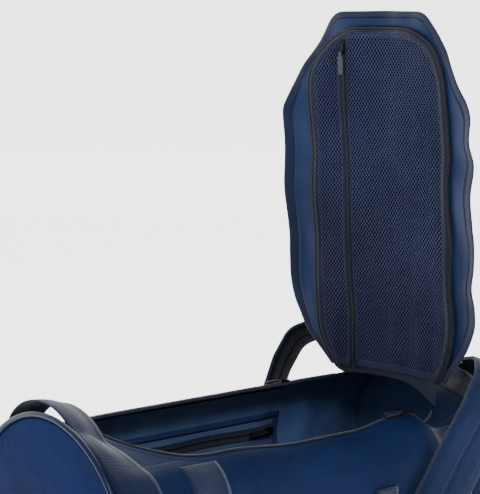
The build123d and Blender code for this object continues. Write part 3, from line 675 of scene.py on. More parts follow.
def deck_points(side, columns=40, rows=90):
    turn = np.linspace(-1, 1, rows)
    y = np.sin(turn * math.pi / 2) * RIM_Y
    tip, hinge = zip_reach(y, 0.001)
    inner = tip if side < 0 else hinge
    share = np.linspace(0, 1, columns)[:, None]
    x = inner + (side * HALF_LENGTH - inner) * share
    return skin_top(x, np.ones((columns, 1)) * y, 0.0)


for side, name in ((-1, "left"), (1, "right")):
    points = deck_points(side)
    deck = cloth_grid(f"{name}_deck_cloth", points, "body_tarp", inward=side < 0)
    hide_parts(f"{name}_top_panel")
    declare_sheet(deck, points)


# %% End panels, a little domed and dented
def end_outline(grow, count=120, x=HALF_LENGTH):
    """Half outlines joined into one loop round an end, starting below."""
    s = np.concatenate([np.linspace(0.0, 5, count), np.linspace(5, 0.0, count)[1:-1]])
    y, z = section(np.full_like(s, x), s, grow)
    y[count:] *= -1
    return np.stack([y, z], -1)


def end_panel_points(side, out=0.0, rings=34):
    loop = end_outline(0.0)
    middle = np.array([0.0, 0.155])
    share = np.linspace(0.0, 1, rings) ** 0.8
    yz = middle + (loop - middle)[None] * share[:, None, None]
    x = np.full(yz.shape[:2], side * HALF_LENGTH)
    points = np.concatenate([x[..., None], yz], -1)
    low = 1 - share[:, None] ** 2
    calm = smooth(0.19, 0.15, yz[..., 1])
    swell = 0.005 * low + low * (0.005 * wrinkle(points, 9.0, 4.4) + 0.0022 * wrinkle(points, 24.0, 2.2))
    under_handle = smooth(0.11, 0.085, np.abs(yz[..., 0])) * smooth(0.075, 0.10, yz[..., 1])
    under_handle = under_handle * smooth(0.24, 0.215, yz[..., 1])
    swell = swell * (0.25 + 0.75 * calm) * (1 - under_handle) + 0.001 * under_handle
    points[..., 0] += side * (out + swell)
    return np.concatenate([points, points[:, :1]], axis=1)


for side, name in ((-1, "left"), (1, "right")):
    points = end_panel_points(side)
    end = cloth_grid(f"{name}_end_cloth", points, "end_tarp", inward=side > 0, weld=True)
    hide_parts(f"{name}_end_panel")
    outline = end_outline(0.0)
    width, height = np.ptp(outline, axis=0)

# %% [markdown]
# Piping hides the seam between the end panels and the tube. It's a cord wrapped in tape,
# and its tape shows as a narrow flat band with a line of stitches.

# %% Piping round the ends
PIPE_RADIUS = 0.0035
around = np.linspace(0, 2 * math.pi, 11)[:-1]
for side, name in ((-1, "left"), (1, "right")):
    loop = end_outline(PIPE_RADIUS + 0.0003)
    line = np.concatenate([np.full((len(loop), 1), side * HALF_LENGTH), loop], -1)
    line[:, 1:] += 0.0006 * wrinkle(line, 30.0, 7.7)[:, None]
    along = np.roll(line, -1, 0) - np.roll(line, 1, 0)
    along /= np.linalg.norm(along, axis=1, keepdims=True)
    out = np.cross(along, [1.0, 0, 0])
    ring = line[:, None] + PIPE_RADIUS * (
        np.cos(around)[None, :, None] * out[:, None] + np.sin(around)[None, :, None] * np.array([1.0, 0, 0])
    )
    ring = np.concatenate([ring, ring[:1]], 0)
    faces = grid_faces(*ring.shape[:2], wrap=True)
    pipe = new_piece(f"{name}_piping_cord", ring.reshape(-1, 3), faces, "piping", "bag", metre_map(ring))
    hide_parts(f"{name}_end_piping")
    s = np.linspace(0.02, 5, 120)
    halves = [skin(np.full((2, 120), side * HALF_LENGTH) - side * np.array([[0.001], [0.011]]),
                   np.ones((2, 1)) * s, w, 0.0008) for w in (-1, 1)]
    tape_points = np.concatenate([halves[0], halves[1][:, ::-1]], 1)
    tape = cloth_grid(f"{name}_piping_tape", tape_points, "piping", thick=0.0007, inward=side < 0)
    seam = [skin(np.full(120, side * (HALF_LENGTH - 0.009)), s, w, 0.0008) for w in (-1, 1)]
    seam = [(line, line - np.array([0, 0, 0.15]) - [side * HALF_LENGTH, 0, 0]) for line in seam]
    stitches(f"{name}_piping_stitches", seam, pitch=0.005)
print("body panels:", len(PIECES))

# %% [markdown]
# ## Lining
#
# The lining is a looser nylon bag inside the tarpaulin. Seen through the opening, it folds
# softly and drops in diagonal creases from the rim.

# %% Lining inside the body
LINING_DEPTH = 0.0024


def lining_wrinkle(points):
    upright = np.abs(wrinkle(points * [1, 0.4, 0.22], 17.0, 9.9))
    return 0.013 * upright + 0.0030 * wrinkle(points * [1, 1, 0.6], 42.0, 1.1)


lining_x = np.linspace(-HALF_LENGTH + 0.006, HALF_LENGTH - 0.006, 150)[:, None]
lining_parts = []
for side in (-1, 1):
    x = lining_x * np.ones((1, 90))
    rim_in = step_at_y(x, np.full_like(x, RIM_Y + 0.026))
    s = rim_in * np.linspace(0, 1, 90)[None]
    base_skin = skin(x, s, side, -LINING_DEPTH)
    y, z = section(x, s, 0.0)
    pocket_side = smooth(-0.16, -0.125, x) * smooth(0.22, 0.18, x) * (side > 0)
    pull_in = lining_wrinkle(base_skin) * (1 - pocket_side) * smooth(0.02, 0.06, z) * smooth(0.0, 0.5, rim_in - s)
    folded = skin(x, s, side, -LINING_DEPTH - pull_in)
    lining_parts.append(folded)
lining_points = np.concatenate([lining_parts[0][:, :0:-1], lining_parts[1]], axis=1)
# the lining's colour carries painted light: it is lighter than the same nylon on the lid, for the shaded inside of
# the bag
lining = cloth_grid("lining_cloth", lining_points, "lining", thick=0.0008, inward=False)
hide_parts("lining")
declare_sheet(lining, lining_points)
for side, name in ((-1, "left"), (1, "right")):
    points = end_panel_points(side, out=-0.0065, rings=30)
    points[..., 1:] = points[..., 1:] * [0.985, 0.985] + [0, 0.002]
    points[..., 0] -= side * lining_wrinkle(points)
    end = cloth_grid(f"{name}_lining_end", points, "lining", thick=0.0008, inward=side > 0, weld=True)
    top_rows, top_columns = 24, 70
    y = np.linspace(-1, 1, top_columns) * (RIM_Y + 0.03)
    tip, hinge = zip_reach(y, 0.026)
    tip = np.where(np.abs(y) > RIM_Y + 0.02, CORNER[0], tip)
    hinge = np.where(np.abs(y) > RIM_Y + 0.02, FLARE_START, hinge)
    inner = tip if side < 0 else hinge
    share = np.linspace(0, 1, top_rows)[:, None]
    x = inner + (side * (HALF_LENGTH - 0.006) - inner) * share
    points = skin_top(x, np.ones((top_rows, 1)) * y, -LINING_DEPTH - 0.0004)
    hang = np.sin(np.linspace(0, 1, top_rows) * math.pi)[:, None]
    points[..., 2] -= 0.004 * np.abs(wrinkle(points, 14.0, 2.0)) * hang
    under = cloth_grid(f"{name}_lining_top", points, "lining", thick=0.0006, inward=side < 0)
    declare_sheet(under, points)

# %% [markdown]
# ## The zip round the opening
#
# Each side of a coil zip is a woven tape with a nylon coil sewn along its edge. The body's
# half runs round the rim and the lid's half hangs under the flap. The coil is modelled
# tooth by tooth, because its fine comb catches the light all round the opening.


# %% Lines round the zip
def zip_path(grow, x_end, tip_steps=40, side_steps=150):
    """The opening's outline from the hinge round the tip and back, grown outwards."""
    reach = FLARE_RADIUS + grow
    start = math.acos(min((x_end - FLARE_START) / reach, 1))
    flare = np.linspace(start, math.pi / 2, 26)
    points = [np.stack([FLARE_START + reach * np.cos(flare), FLARE_CENTRE[1] + reach * np.sin(flare)], -1)]
    x = np.linspace(FLARE_START, CORNER[0], side_steps)[1:-1]
    points.append(np.stack([x, np.full_like(x, ZIP_SIDE + grow)], -1))
    turn = np.linspace(math.pi / 2, math.pi, tip_steps)
    points.append(np.array(CORNER) + (TIP_RADIUS + grow) * np.stack([np.cos(turn), np.sin(turn)], -1))
    half = np.concatenate(points)
    tip_y = np.linspace(CORNER[1], -CORNER[1], 18)[1:-1]
    tip = np.stack([np.full_like(tip_y, ZIP_TIP - grow), tip_y], -1)
    return np.concatenate([half, tip, half[::-1] * [1, -1]])


def ring_band(surface, inner, outer, height, x_end, columns=6):
    """A ribbon lying on a surface between two grown outlines."""
    lines = [zip_path(g, x_end) for g in np.linspace(inner, outer, columns)]
    plan = np.stack(lines, axis=1)
    return surface(plan[..., 0], plan[..., 1], np.full(plan.shape[:2], height))


def coil_teeth(name, inner_line, outer_line, body, height, pitch=0.0022):
    """A comb of round-topped teeth between two lines, each a bent bar."""
    run = run_along(inner_line)
    share = np.linspace(0, 1, len(np.arange(0, run[-1], pitch)))
    a = respaced(inner_line, share, run / run[-1])
    b = respaced(outer_line, share, run / run[-1])
    along = np.gradient(a, axis=0)
    along /= np.linalg.norm(along, axis=1, keepdims=True)
    wide = b - a
    up = np.cross(along, wide)
    up /= np.linalg.norm(up, axis=1, keepdims=True)
    if up[len(up) // 2][2] < 0:
        up = -up
    bar = 0.00068
    shape = [(0.0, 0.15), (0.12, 0.85), (0.5, 1.0), (0.88, 0.8), (1.0, 0.1)]
    vertices, faces = [], []
    for p, w, t, n in zip(a, wide, along, up):
        base = len(vertices)
        for across, rise in shape:
            c = p + w * across + n * height * rise * 0.72
            vertices += [c + t * bar, c + n * bar, c - t * bar, c - n * bar * 0.4]
        for r in range(len(shape) - 1):
            for k in range(4):
                m = (k + 1) % 4
                q = base + 4 * r
                faces.append((q + k, q + 4 + k, q + 4 + m, q + m))
        last = base + 4 * (len(shape) - 1)
        faces += [(base, base + 1, base + 2, base + 3), (last + 3, last + 2, last + 1, last)]
    return new_piece(name, vertices, faces, "zip_coil", body)


# %% Tape, coil and facing on the bag's rim
points = ring_band(skin_top, 0.001, 0.015, 0.0010, HINGE.x - 0.004)
rim_tape = cloth_grid("rim_tape_cloth", points, "zip_tape", thick=0.0008, inward=False)
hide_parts("rim_zip_tape")
for edge in (0.0052, 0.0135):
    band = ring_band(skin_top, edge, edge + 0.001, 0.0010, HINGE.x - 0.004, 2)
    stitches(f"rim_stitches_{round(edge * 10000)}", [(band[:, 0], (0, 0, 1))], pitch=0.0045)
band = ring_band(skin_top, 0.0012, 0.0044, 0.0011, HINGE.x - 0.012, 2)
rim_coil = coil_teeth("rim_coil_teeth", band[:, 0], band[:, 1], "bag", 0.0018)
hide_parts("rim_zip_coil")
points = ring_band(skin_top, 0.001, 0.026, -0.0014, HINGE.x - 0.004)
facing = cloth_grid("rim_facing_cloth", points, "binding", thick=0.0008, inward=True)
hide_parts("rim_facing")
declare_sheet(facing, points)

# %% [markdown]
# The cut edge of the tarpaulin is bound with a soft tape that rolls over the edge. It
# gives the opening its thick, slightly wavy lip.

# %% Rolled edge of the opening
lip = ring_band(skin_top, 0.0006, 0.0016, -0.0002, HINGE.x - 0.004, 2)[:, 0]
lip[:, 2] += 0.0008 * wrinkle(lip, 22.0, 3.0)
ROLL = [(0.0016 * math.cos(a), 0.0024 * math.sin(a)) for a in np.linspace(0, 2 * math.pi, 9)[:-1]]
lip_out = np.gradient(lip, axis=0)
lip_across = np.cross(lip_out, [0, 0, 1.0])
edge_roll = swept("rim_edge_roll", lip, lip_across, ROLL, "binding")
print("rim pieces done, pieces so far:", len(PIECES))

# %% [markdown]
# ## Open mesh
#
# The pockets are warp-knit mesh: strands that cross and leave diamond holes. Holes drawn
# on a plain sheet look flat from the side, so the strands are real geometry. A lattice of
# diamonds is laid on the surface and a wireframe turns its edges into threads.

# %% A lattice of diamond holes
HOLE_LONG = 0.0072
HOLE_WIDE = 0.0050
STRAND = 0.00108


def mesh_cloth(name, surface, low, high, inside, body):
    """Diamonds on surface(u, v) between two corners, where inside(u, v) holds."""
    across = int((high[0] - low[0]) / HOLE_LONG * 2)
    down = int((high[1] - low[1]) / HOLE_WIDE * 2)
    i, j = np.meshgrid(np.arange(1, across), np.arange(1, down), indexing="ij")
    centre = (i + j) % 2 == 1
    i, j = i[centre], j[centre]
    u = low[0] + i * HOLE_LONG / 2
    v = low[1] + j * HOLE_WIDE / 2
    keep = inside(u, v)
    i, j = i[keep], j[keep]
    corners = np.stack([
        np.stack([i - 1, j], -1), np.stack([i, j - 1], -1),
        np.stack([i + 1, j], -1), np.stack([i, j + 1], -1),
    ], axis=1)
    spots, faces = np.unique(corners.reshape(-1, 2), axis=0, return_inverse=True)
    flat = np.array(low) + spots * [HOLE_LONG / 2, HOLE_WIDE / 2]
    points = surface(flat[:, 0], flat[:, 1])
    piece = new_piece(name, points, faces.reshape(-1, 4), "mesh", body, flat)
    wire = piece.modifiers.new("strands", "WIREFRAME")
    wire.thickness = STRAND
    wire.use_even_offset = False
    return piece, len(i) * HOLE_LONG * HOLE_WIDE / 2


# %% [markdown]
# ## Lid
#
# The lid is a stack. Outside lies a tarpaulin panel with a bound storm flap that reaches
# past the zip, and under it come thin foam and a lining. Its inner face holds the zip's
# other half and a mesh pocket. Layers are placed as if the lid were shut, then turned
# about the hinge with a slight twist, since a soft hinge never folds straight.

# %% Heights of the lid's layers above the bag's skin
COIL_H, TAPE_H, EDGE_H, MESH_H = 0.0030, 0.0031, 0.0022, 0.0034
LINING_H, FOAM_H, FLAP_H, PANEL_H = 0.0041, 0.0049, 0.0080, 0.0093


def flap_outline(grow, count=240):
    """The flap's outline with soft mitred corners, walked from one hinge side round."""
    side, tip = ZIP_SIDE + 0.032, ZIP_TIP - 0.020
    half = [
        (LID_END, HINGE_SIDE + 0.0105), (FLARE_START + 0.030, ZIP_SIDE + 0.015),
        (HINGE.x - 0.095, side - 0.004), (HINGE.x - 0.200, side), (ZIP_TIP + 0.112, side),
        (ZIP_TIP + 0.055, side - 0.022), (tip + 0.006, ZIP_SIDE - 0.038), (tip, ZIP_SIDE - 0.048),
    ]
    line = np.array(half + [(x, -y) for x, y in reversed(half)])
    run = run_along(line)
    soft = respaced(line, np.linspace(0, run[-1], count), run)
    for _ in range(3):
        soft[1:-1] = (soft[:-2] + 2 * soft[1:-1] + soft[2:]) / 4
    along = np.gradient(soft, axis=0)
    along /= np.linalg.norm(along, axis=1, keepdims=True)
    out = np.stack([along[:, 1], -along[:, 0]], -1)
    if out[count // 4][1] < 0:
        out = -out
    moved = soft + out * grow
    moved[:, 0] = np.minimum(moved[:, 0], LID_END)
    return moved


def ladder(surface, outer, inner, height, columns):
    """A ribbon between two outlines of equal count."""
    share = np.linspace(0, 1, columns)[None, :, None]
    plan = inner[:, None] + (outer - inner)[:, None] * share
    return surface(plan[..., 0], plan[..., 1], np.full(plan.shape[:2], height))


def across_lid(outline, height, columns=70):
    """A full sheet: each point of one half joined straight to its mirror."""
    half = len(outline) // 2
    share = np.linspace(0, 1, columns)[None, :, None]
    a, b = outline[:half][:, None], outline[::-1][:half][:, None]
    plan = a + (b - a) * share
    return lid_skin(plan[..., 0], plan[..., 1], np.full(plan.shape[:2], height))


# %% Panel, foam, lining, flap and binding
points = across_lid(flap_outline(-BINDING + 0.002), PANEL_H + 0.0012)
lid_panel = cloth_grid("lid_panel_cloth", points, "body_tarp", "lid", inward=True)
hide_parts("lid_panel")
declare_sheet(lid_panel, points)
zip_in = zip_path(-0.0022, LID_END)
points = across_lid(zip_in, FOAM_H + 0.003)
lid_foam = cloth_grid("lid_foam_sheet", points, "foam", "lid", thick=0.0028)
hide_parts("lid_foam")
points = across_lid(zip_in, LINING_H)
# the lid's lining takes the darker copy of the lining's colour: painted shade between the mesh strands
lid_lining = cloth_grid("lid_lining_cloth", points, "lining_shade", "lid", thick=0.0007, inward=False)
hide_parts("lid_lining")
declare_sheet(lid_lining, points)
flap_in = flap_outline(-BINDING + 0.002)
path = zip_path(-0.016, LID_END)
run = run_along(path)
zip_ring = respaced(path, np.linspace(0, run[-1], len(flap_in)), run)
points = ladder(lid_skin, flap_in, zip_ring, FLAP_H, 16)
storm_flap = cloth_grid("storm_flap_cloth", points, "flap_tarp", "lid", inward=False)
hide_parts("storm_flap")
declare_sheet(storm_flap, points)

# %% [markdown]
# A folded tape binds the flap's edge. It wraps both layers, so its section is a flat loop.

# %% Binding of the flap
outer, inner = flap_outline(0.0), flap_outline(-BINDING)
BINDING_LOOP = ((0, 0.0076), (0.5, 0.0074), (0.92, 0.0076), (1.0, 0.0092), (0.92, 0.0109), (0.5, 0.0111), (0, 0.0109))
loop = []
for share, height in BINDING_LOOP:
    plan = inner + (outer - inner) * share
    loop.append(lid_skin(plan[:, 0], plan[:, 1], np.full(len(plan), height)))
loop = np.stack(loop, axis=1)
lid_binding = cloth_grid("lid_binding_tape", loop, "binding", "lid", thick=0.0006, inward=True, subdivide=1)
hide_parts("lid_binding")
into = LID_TURN @ np.array([0, 0, -1.0])
edge = flap_outline(-BINDING + 0.0022)
line = lid_skin(edge[:, 0], edge[:, 1], np.full(len(edge), 0.0074))
stitches("lid_binding_stitches", [(line, into)], body="lid", pitch=0.0045)

# %% Zip half on the lid
points = ring_band(lid_skin, -0.0012, -0.0152, TAPE_H, LID_END)
lid_tape = cloth_grid("lid_tape_cloth", points, "zip_tape", "lid", thick=0.0008, inward=False)
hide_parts("lid_zip_tape")
band = ring_band(lid_skin, -0.0012, -0.0046, COIL_H, LID_END, 2)
lid_coil = coil_teeth("lid_coil_teeth", band[:, 0], band[:, 1], "lid", -0.0018)
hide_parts("lid_zip_coil")
points = ring_band(lid_skin, -0.0052, -0.0128, EDGE_H, LID_END, 8)
rounded = 0.0012 * np.sin(np.linspace(0, 1, 8) * math.pi)[None, :, None] * into
lid_edging = cloth_grid("lid_edging_tape", points + rounded, "edging", "lid", thick=0.0009, inward=False)
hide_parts("lid_mesh_edging")
plan = zip_path(-0.0114, LID_END)
line = lid_skin(plan[:, 0], plan[:, 1], np.full(len(plan), EDGE_H - 0.0008))
stitches("lid_edging_stitches", [(line, into)], body="lid", pitch=0.0045)

# %% [markdown]
# ## Mesh pocket in the lid
#
# A mesh sheet covers the lid's inner face, split lengthways by a pocket zip near the far
# side. Mesh is stretched over the foam, and it bellies a little between the edgings.

# %% Mesh panels and pocket zip
LID_ZIP_Y = 0.060
MESH_INSET = -0.0105


def in_zip(x, y, grow):
    tip, hinge = zip_reach(y, grow)
    return (np.abs(y) < ZIP_SIDE + grow) & (x > tip) & (x < np.minimum(hinge, LID_END - 0.002))


def lid_mesh_surface(x, y):
    belly = 0.0016 * np.cos(np.clip(y / ZIP_SIDE, -1, 1) * math.pi / 2)
    drape = 0.0022 * wrinkle(np.stack([x * 0.25, y, 0 * x], -1), 42.0, 4.0) * smooth(-0.25, 0.12, x)
    return lid_skin(x, y, MESH_H - 0.0018 - belly - drape)


for name, low_y, high_y in (("main", -ZIP_SIDE, LID_ZIP_Y - 0.004), ("side", LID_ZIP_Y + 0.004, ZIP_SIDE)):
    piece, area = mesh_cloth(
        f"lid_mesh_{name}_net", lid_mesh_surface, (ZIP_TIP, low_y), (LID_END, high_y),
        lambda x, y: in_zip(x, y, MESH_INSET), "lid",
    )
    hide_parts(f"lid_mesh_{name}")
    print(piece.name, "area", round(area, 4))


def zip_strip(name, line, across, out, body, width=0.017, flip=1):
    """A closed pocket zip: two tapes, a seam line and a coil down the middle."""
    profile = flat_profile(width, 0.0009, 8)
    tape = swept(f"{name}_tape", line, across, profile, "zip_tape", body)
    offset = np.asarray(out) * 0.0006
    _, wide, _ = frames(line, across)
    for k in (-1, 1):
        coil_teeth(f"{name}_coil_{'left' if k < 0 else 'right'}", line + offset + wide * k * 0.0001,
                               line + offset + wide * k * 0.0030, body, flip * k * 0.0018, 0.0020)
    lines = [(line + offset * 0.9 + wide * k * 0.0068, out) for k in (-1, 1)]
    stitches(f"{name}_stitches", lines, body=body, pitch=0.004)
    return tape


x = np.linspace(ZIP_TIP + 0.021, LID_END - 0.001, 120)
line = lid_skin(x, LID_ZIP_Y + 0.0012 * np.sin(x * 31), np.full_like(x, 0.0016))
side_way = lid_skin(x, np.full_like(x, LID_ZIP_Y + 0.01), np.full_like(x, 0.0016)) - line
lid_zip = zip_strip("lid_pocket_zip", line, side_way, into, "lid")
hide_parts("lid_pocket_zip")
print("lid pieces done")

# %% [markdown]
# ## Hinge cloth
#
# Nothing hard joins the lid to the bag. The tarpaulin and facing simply fold. This strip
# runs from the bag's top onto the open lid. It is built in the open pose and belongs to neither body.

# %% Hinge strip
across = np.linspace(-1, 1, 60)
rows = []
for grow, x_place in ((0.0004, HINGE.x + 0.012), (0.0009, HINGE.x + 0.006), (0.0013, HINGE.x + 0.002)):
    y = across * (HINGE_SIDE + 0.004)
    rows.append(skin_top(np.full_like(y, x_place), y, np.full_like(y, grow)))
for grow, x_place in ((0.0035, LID_END + 0.0015), (0.0042, LID_END - 0.004), (0.0046, LID_END - 0.014)):
    y = across * (HINGE_SIDE + 0.003)
    rows.append(lid_skin(np.full_like(y, x_place), y, np.full_like(y, grow)))
hinge_points = np.stack(rows)
hinge = cloth_grid("hinge_cloth", hinge_points, "binding", None, thick=0.0012, inward=False, subdivide=2)
end = hinge_points[-2].mean(axis=0)
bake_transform(hinge)
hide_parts("hinge_strip")
declare_sheet(hinge, hinge_points)

# %% [markdown]
# ## Pocket on the back wall
#
# A bound mesh window with its own zip hangs on the wall's inside. Mesh, tape and zip follow
# the wall's swell at small depths.

# %% Back wall pocket
pocket_low, pocket_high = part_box("wall_pocket_binding")
POCKET_X = (pocket_low.x, pocket_high.x)
POCKET_Z = (pocket_low.z, pocket_high.z)
ZIP_Z = sum(c.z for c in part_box("wall_pocket_zip")) / 2
POCKET_EDGE = 0.009
BINDING_DEPTH = 0.0008


def on_wall(x, z, depth, side=1):
    """Points at a depth inside the back wall's lining."""
    x, z = np.broadcast_arrays(np.asarray(x, float), np.asarray(z, float))
    return skin(x, step_at_z(x, z), side, -0.0024 - depth)


def wall_strip(name, x, z, depth, material, thick=0.001):
    xs = np.linspace(*x, max(int((x[1] - x[0]) / 0.006), 5))
    zs = np.linspace(*z, max(int((z[1] - z[0]) / 0.003), 5))
    bulge = 0.0010 * (1 - np.linspace(-1, 1, len(zs)) ** 2) if len(zs) < len(xs) else 0
    points = on_wall(xs[:, None], zs[None, :], depth + bulge)
    piece = cloth_grid(name, points, material, thick=thick, inward=False)
    return piece


inner_z = (POCKET_Z[0] + POCKET_EDGE * 0.9, POCKET_Z[1] - POCKET_EDGE * 0.9)
FRAME_STRIPS = {
    "top": (POCKET_X, (POCKET_Z[1] - POCKET_EDGE, POCKET_Z[1])),
    "foot": (POCKET_X, (POCKET_Z[0], POCKET_Z[0] + POCKET_EDGE)),
    "left": ((POCKET_X[0], POCKET_X[0] + POCKET_EDGE), inner_z),
    "right": ((POCKET_X[1] - POCKET_EDGE, POCKET_X[1]), inner_z),
}
# the pocket's binding is painted lighter than the other binding: painted light for the shade inside the bag
for place, (x, z) in FRAME_STRIPS.items():
    wall_strip(f"wall_pocket_binding_{place}", x, z, BINDING_DEPTH, "pocket_binding")
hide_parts("wall_pocket_binding")
inner_x = (POCKET_X[0] + POCKET_EDGE * 0.8, POCKET_X[1] - POCKET_EDGE * 0.8)


def pocket_surface(x, z):
    middle = np.sin(np.clip((z - POCKET_Z[0]) / (ZIP_Z - POCKET_Z[0]), 0, 1) * math.pi)
    points = np.stack([x, 0 * x, z], -1)
    return on_wall(x, z, 0.0010 + 0.004 * middle * (0.7 + 0.5 * wrinkle(points, 14.0, 2.5)))


for name, z in (("upper", (ZIP_Z + 0.004, inner_z[1])), ("lower", (inner_z[0], ZIP_Z - 0.004))):
    piece, area = mesh_cloth(f"wall_pocket_{name}_net", pocket_surface, (inner_x[0], z[0]), (inner_x[1], z[1]),
                             lambda x, y: x == x, "bag")
    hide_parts(f"wall_pocket_{name}_mesh")
x = np.linspace(*inner_x, 90)
line = on_wall(x, ZIP_Z + 0.001 * np.sin(x * 40), 0.0018)
wall_zip = zip_strip("wall_pocket_zip", line, np.array([0, 0, 1.0]), (0, -1, 0), "bag")
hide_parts("wall_pocket_zip")
lines = []
for z in (POCKET_Z[1] - 0.0015, POCKET_Z[0] + 0.0015, POCKET_Z[1] - 0.0075, POCKET_Z[0] + 0.0075):
    lines.append((on_wall(np.linspace(*POCKET_X, 60), np.full(60, z), 0.0022), (0, -1, 0)))
stitches("wall_pocket_stitches", lines, pitch=0.0045)
print("pocket done")

# %% [markdown]
# ## Webbing round the body
#
# A girth strap runs over each end, and two short bands climb each wall. All are woven
# webbing sewn along both edges. The left strap isn't pulled tight, so its top stands up
# in a slack loop.

# %% Girth straps and bands
girth_low, girth_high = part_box("right_girth_strap")
GIRTH_X = (girth_low.x, girth_high.x)
WEB_FOOT = girth_low.z
WEB_H = 0.0018
WEBBING = 0.0016
SLACK_CENTRE = (0.0242, 0.2495)
SLACK_RADIUS = 0.0850
SLACK_Y = (-0.046, 0.107)
SLACK_Z = (0.2974, 0.2686)
SLACK_SEAT = 0.0008
SLACK_HEIGHT = 0.76


def strap_over(x_range, rows=260, columns=9):
    """Webbing over the whole bag, from one base seam to the other."""
    x = np.linspace(*x_range, columns)[None, :] * np.ones((rows // 2, 1))
    foot = step_at_z(x, np.full_like(x, WEB_FOOT))
    s = foot + (5 - foot) * np.linspace(0, 1, rows // 2)[:, None]
    front = skin(x, s, -1, WEB_H)
    back = skin(x, s, 1, WEB_H)[::-1]
    return np.concatenate([front, back[1:]])


def with_slack(points):
    """Lifts the strap's top into a loop that stands off the bag."""
    y = points[..., 1]
    inside = (y > SLACK_Y[0]) & (y < SLACK_Y[1])
    a, b = (np.arctan2(z - SLACK_CENTRE[1], y_end - SLACK_CENTRE[0]) for z, y_end in zip(SLACK_Z, SLACK_Y))
    share = (y - SLACK_Y[0]) / (SLACK_Y[1] - SLACK_Y[0])
    turn = a + (b - a) * np.clip(share, 0, 1)
    count = points.shape[1]
    ends = [skin_top(points[0, :, 0], np.full(count, y_end), np.full(count, WEB_H))[:, 2] for y_end in SLACK_Y]
    arc_y = SLACK_CENTRE[0] + SLACK_RADIUS * np.cos(turn)
    arc_z = SLACK_CENTRE[1] + SLACK_RADIUS * np.sin(turn)
    lift = (ends[0] - SLACK_Z[0] - SLACK_SEAT) * (1 - share) + (ends[1] - SLACK_Z[1] - SLACK_SEAT) * share
    loop = np.stack([points[..., 0], arc_y, arc_z + lift + SLACK_SEAT], -1)
    chord = ends[0] + (ends[1] - ends[0]) * share
    loop[..., 2] = chord + (loop[..., 2] - chord) * SLACK_HEIGHT
    return np.where(inside[..., None], loop, points)


def ease(points, start, stop, rounds=6):
    """Evens out the points between two rows, keeping their ends."""
    for _ in range(rounds):
        before, here, after = points[start:stop - 2], points[start + 1:stop - 1], points[start + 2:stop]
        points[start + 1:stop - 1] = (before + 2 * here + after) / 4
    return points


def edge_stitches(name, points, body="bag", inset=1, lift=0.0002):
    """Lines of thread near both long edges of a webbing grid."""
    lines = []
    for column in (inset, points.shape[1] - 1 - inset):
        line = points[:, column]
        along = np.gradient(line, axis=0)
        wide = points[:, -1] - points[:, 0]
        out = np.cross(wide, along)
        middle = points.reshape(-1, 3).mean(axis=0)
        if ((line - middle) * out).sum() < 0:
            out = -out
        lines.append((line, out))
    return stitches(name, lines, body=body, pitch=0.0048, lift=lift)


for side, name in ((-1, "left"), (1, "right")):
    x_range = GIRTH_X if side > 0 else (-GIRTH_X[1], -GIRTH_X[0])
    points = strap_over(x_range)
    if side < 0:
        points = ease(with_slack(points), 80, 190)
    strap = cloth_grid(f"{name}_girth_webbing", points, "webbing", thick=WEBBING, inward=False)
    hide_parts(f"{name}_girth_strap")
    declare_sheet(strap, points)
    edge_stitches(f"{name}_girth_stitches", points)

band_low, band_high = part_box("back_wall_bands")
BAND_TOP_Y = band_low.y
BAND_WIDE = 0.054
BAND_X = band_high.x - BAND_WIDE / 2


def wall_patch(x_middle, wide, side, z_low, y_top=None, z_top=None, rows=60, columns=11, grow=WEB_H):
    x = np.linspace(x_middle - wide / 2, x_middle + wide / 2, columns)[None, :] * np.ones((rows, 1))
    low = step_at_z(x, np.full_like(x, z_low))
    if z_top:
        high = step_at_z(x, np.full_like(x, z_top))
        high = np.where(high > 2.999, 3.02, high)
    else:
        high = step_at_y(x, np.full_like(x, y_top))
    s = low + (high - low) * np.linspace(0, 1, rows)[:, None]
    return skin(x, s, side, grow)


def cross_stitch(name, points, body="bag", rows=(4, 14)):
    """A boxed X of stitches over the end of a webbing."""
    a, b = points[rows[0], 1], points[rows[0], -2]
    c, d = points[rows[1], 1], points[rows[1], -2]
    out = np.cross(b - a, c - a)
    middle = np.array([0, 0, 0.14])
    if (out * (a - middle)).sum() < 0:
        out = -out
    lines = [(np.linspace(p, q, 30), out) for p, q in ((a, b), (b, d), (d, c), (c, a), (a, d), (b, c))]
    return stitches(name, lines, body=body, lift=0.0004)


for side, name in ((-1, "front"), (1, "back")):
    for x_middle, place in ((-BAND_X, "left"), (BAND_X, "right")):
        points = wall_patch(x_middle, BAND_WIDE, side, WEB_FOOT, y_top=BAND_TOP_Y)
        band = cloth_grid(f"{name}_{place}_band", points, "webbing", thick=WEBBING, inward=side > 0)
        if place == "left":
            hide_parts(f"{name}_wall_bands")
        edge_stitches(f"{name}_{place}_band_stitches", points)

# %% [markdown]
# ## Handles
#
# Each handle is one length of webbing, sewn to the wall under a patch with a boxed cross
# and folded round at its corners. The long sides carry a padded grip.

# %% Handles, patches and grips
PATCH_WIDE = 0.038


def rounded_corner_path(half, top, low, radius=0.023, steps=12):
    """Down one leg, across and up the other, as (u, v) pairs."""
    turn = np.linspace(0, math.pi / 2, steps)
    left = np.stack([-half + radius - radius * np.cos(turn), low + radius - radius * np.sin(turn)], -1)
    leg = [[-half, top], [-half, top + (low + radius - top) * 0.5]]
    half_path = np.concatenate([leg, left, [[-half * 0.4, low], [0, low]]])
    return np.concatenate([half_path, half_path[:-1][::-1] * [-1, 1]])


def dense(path, pitch=0.003):
    run = run_along(path)
    return respaced(path, np.linspace(0, run[-1], int(run[-1] / pitch)), run)


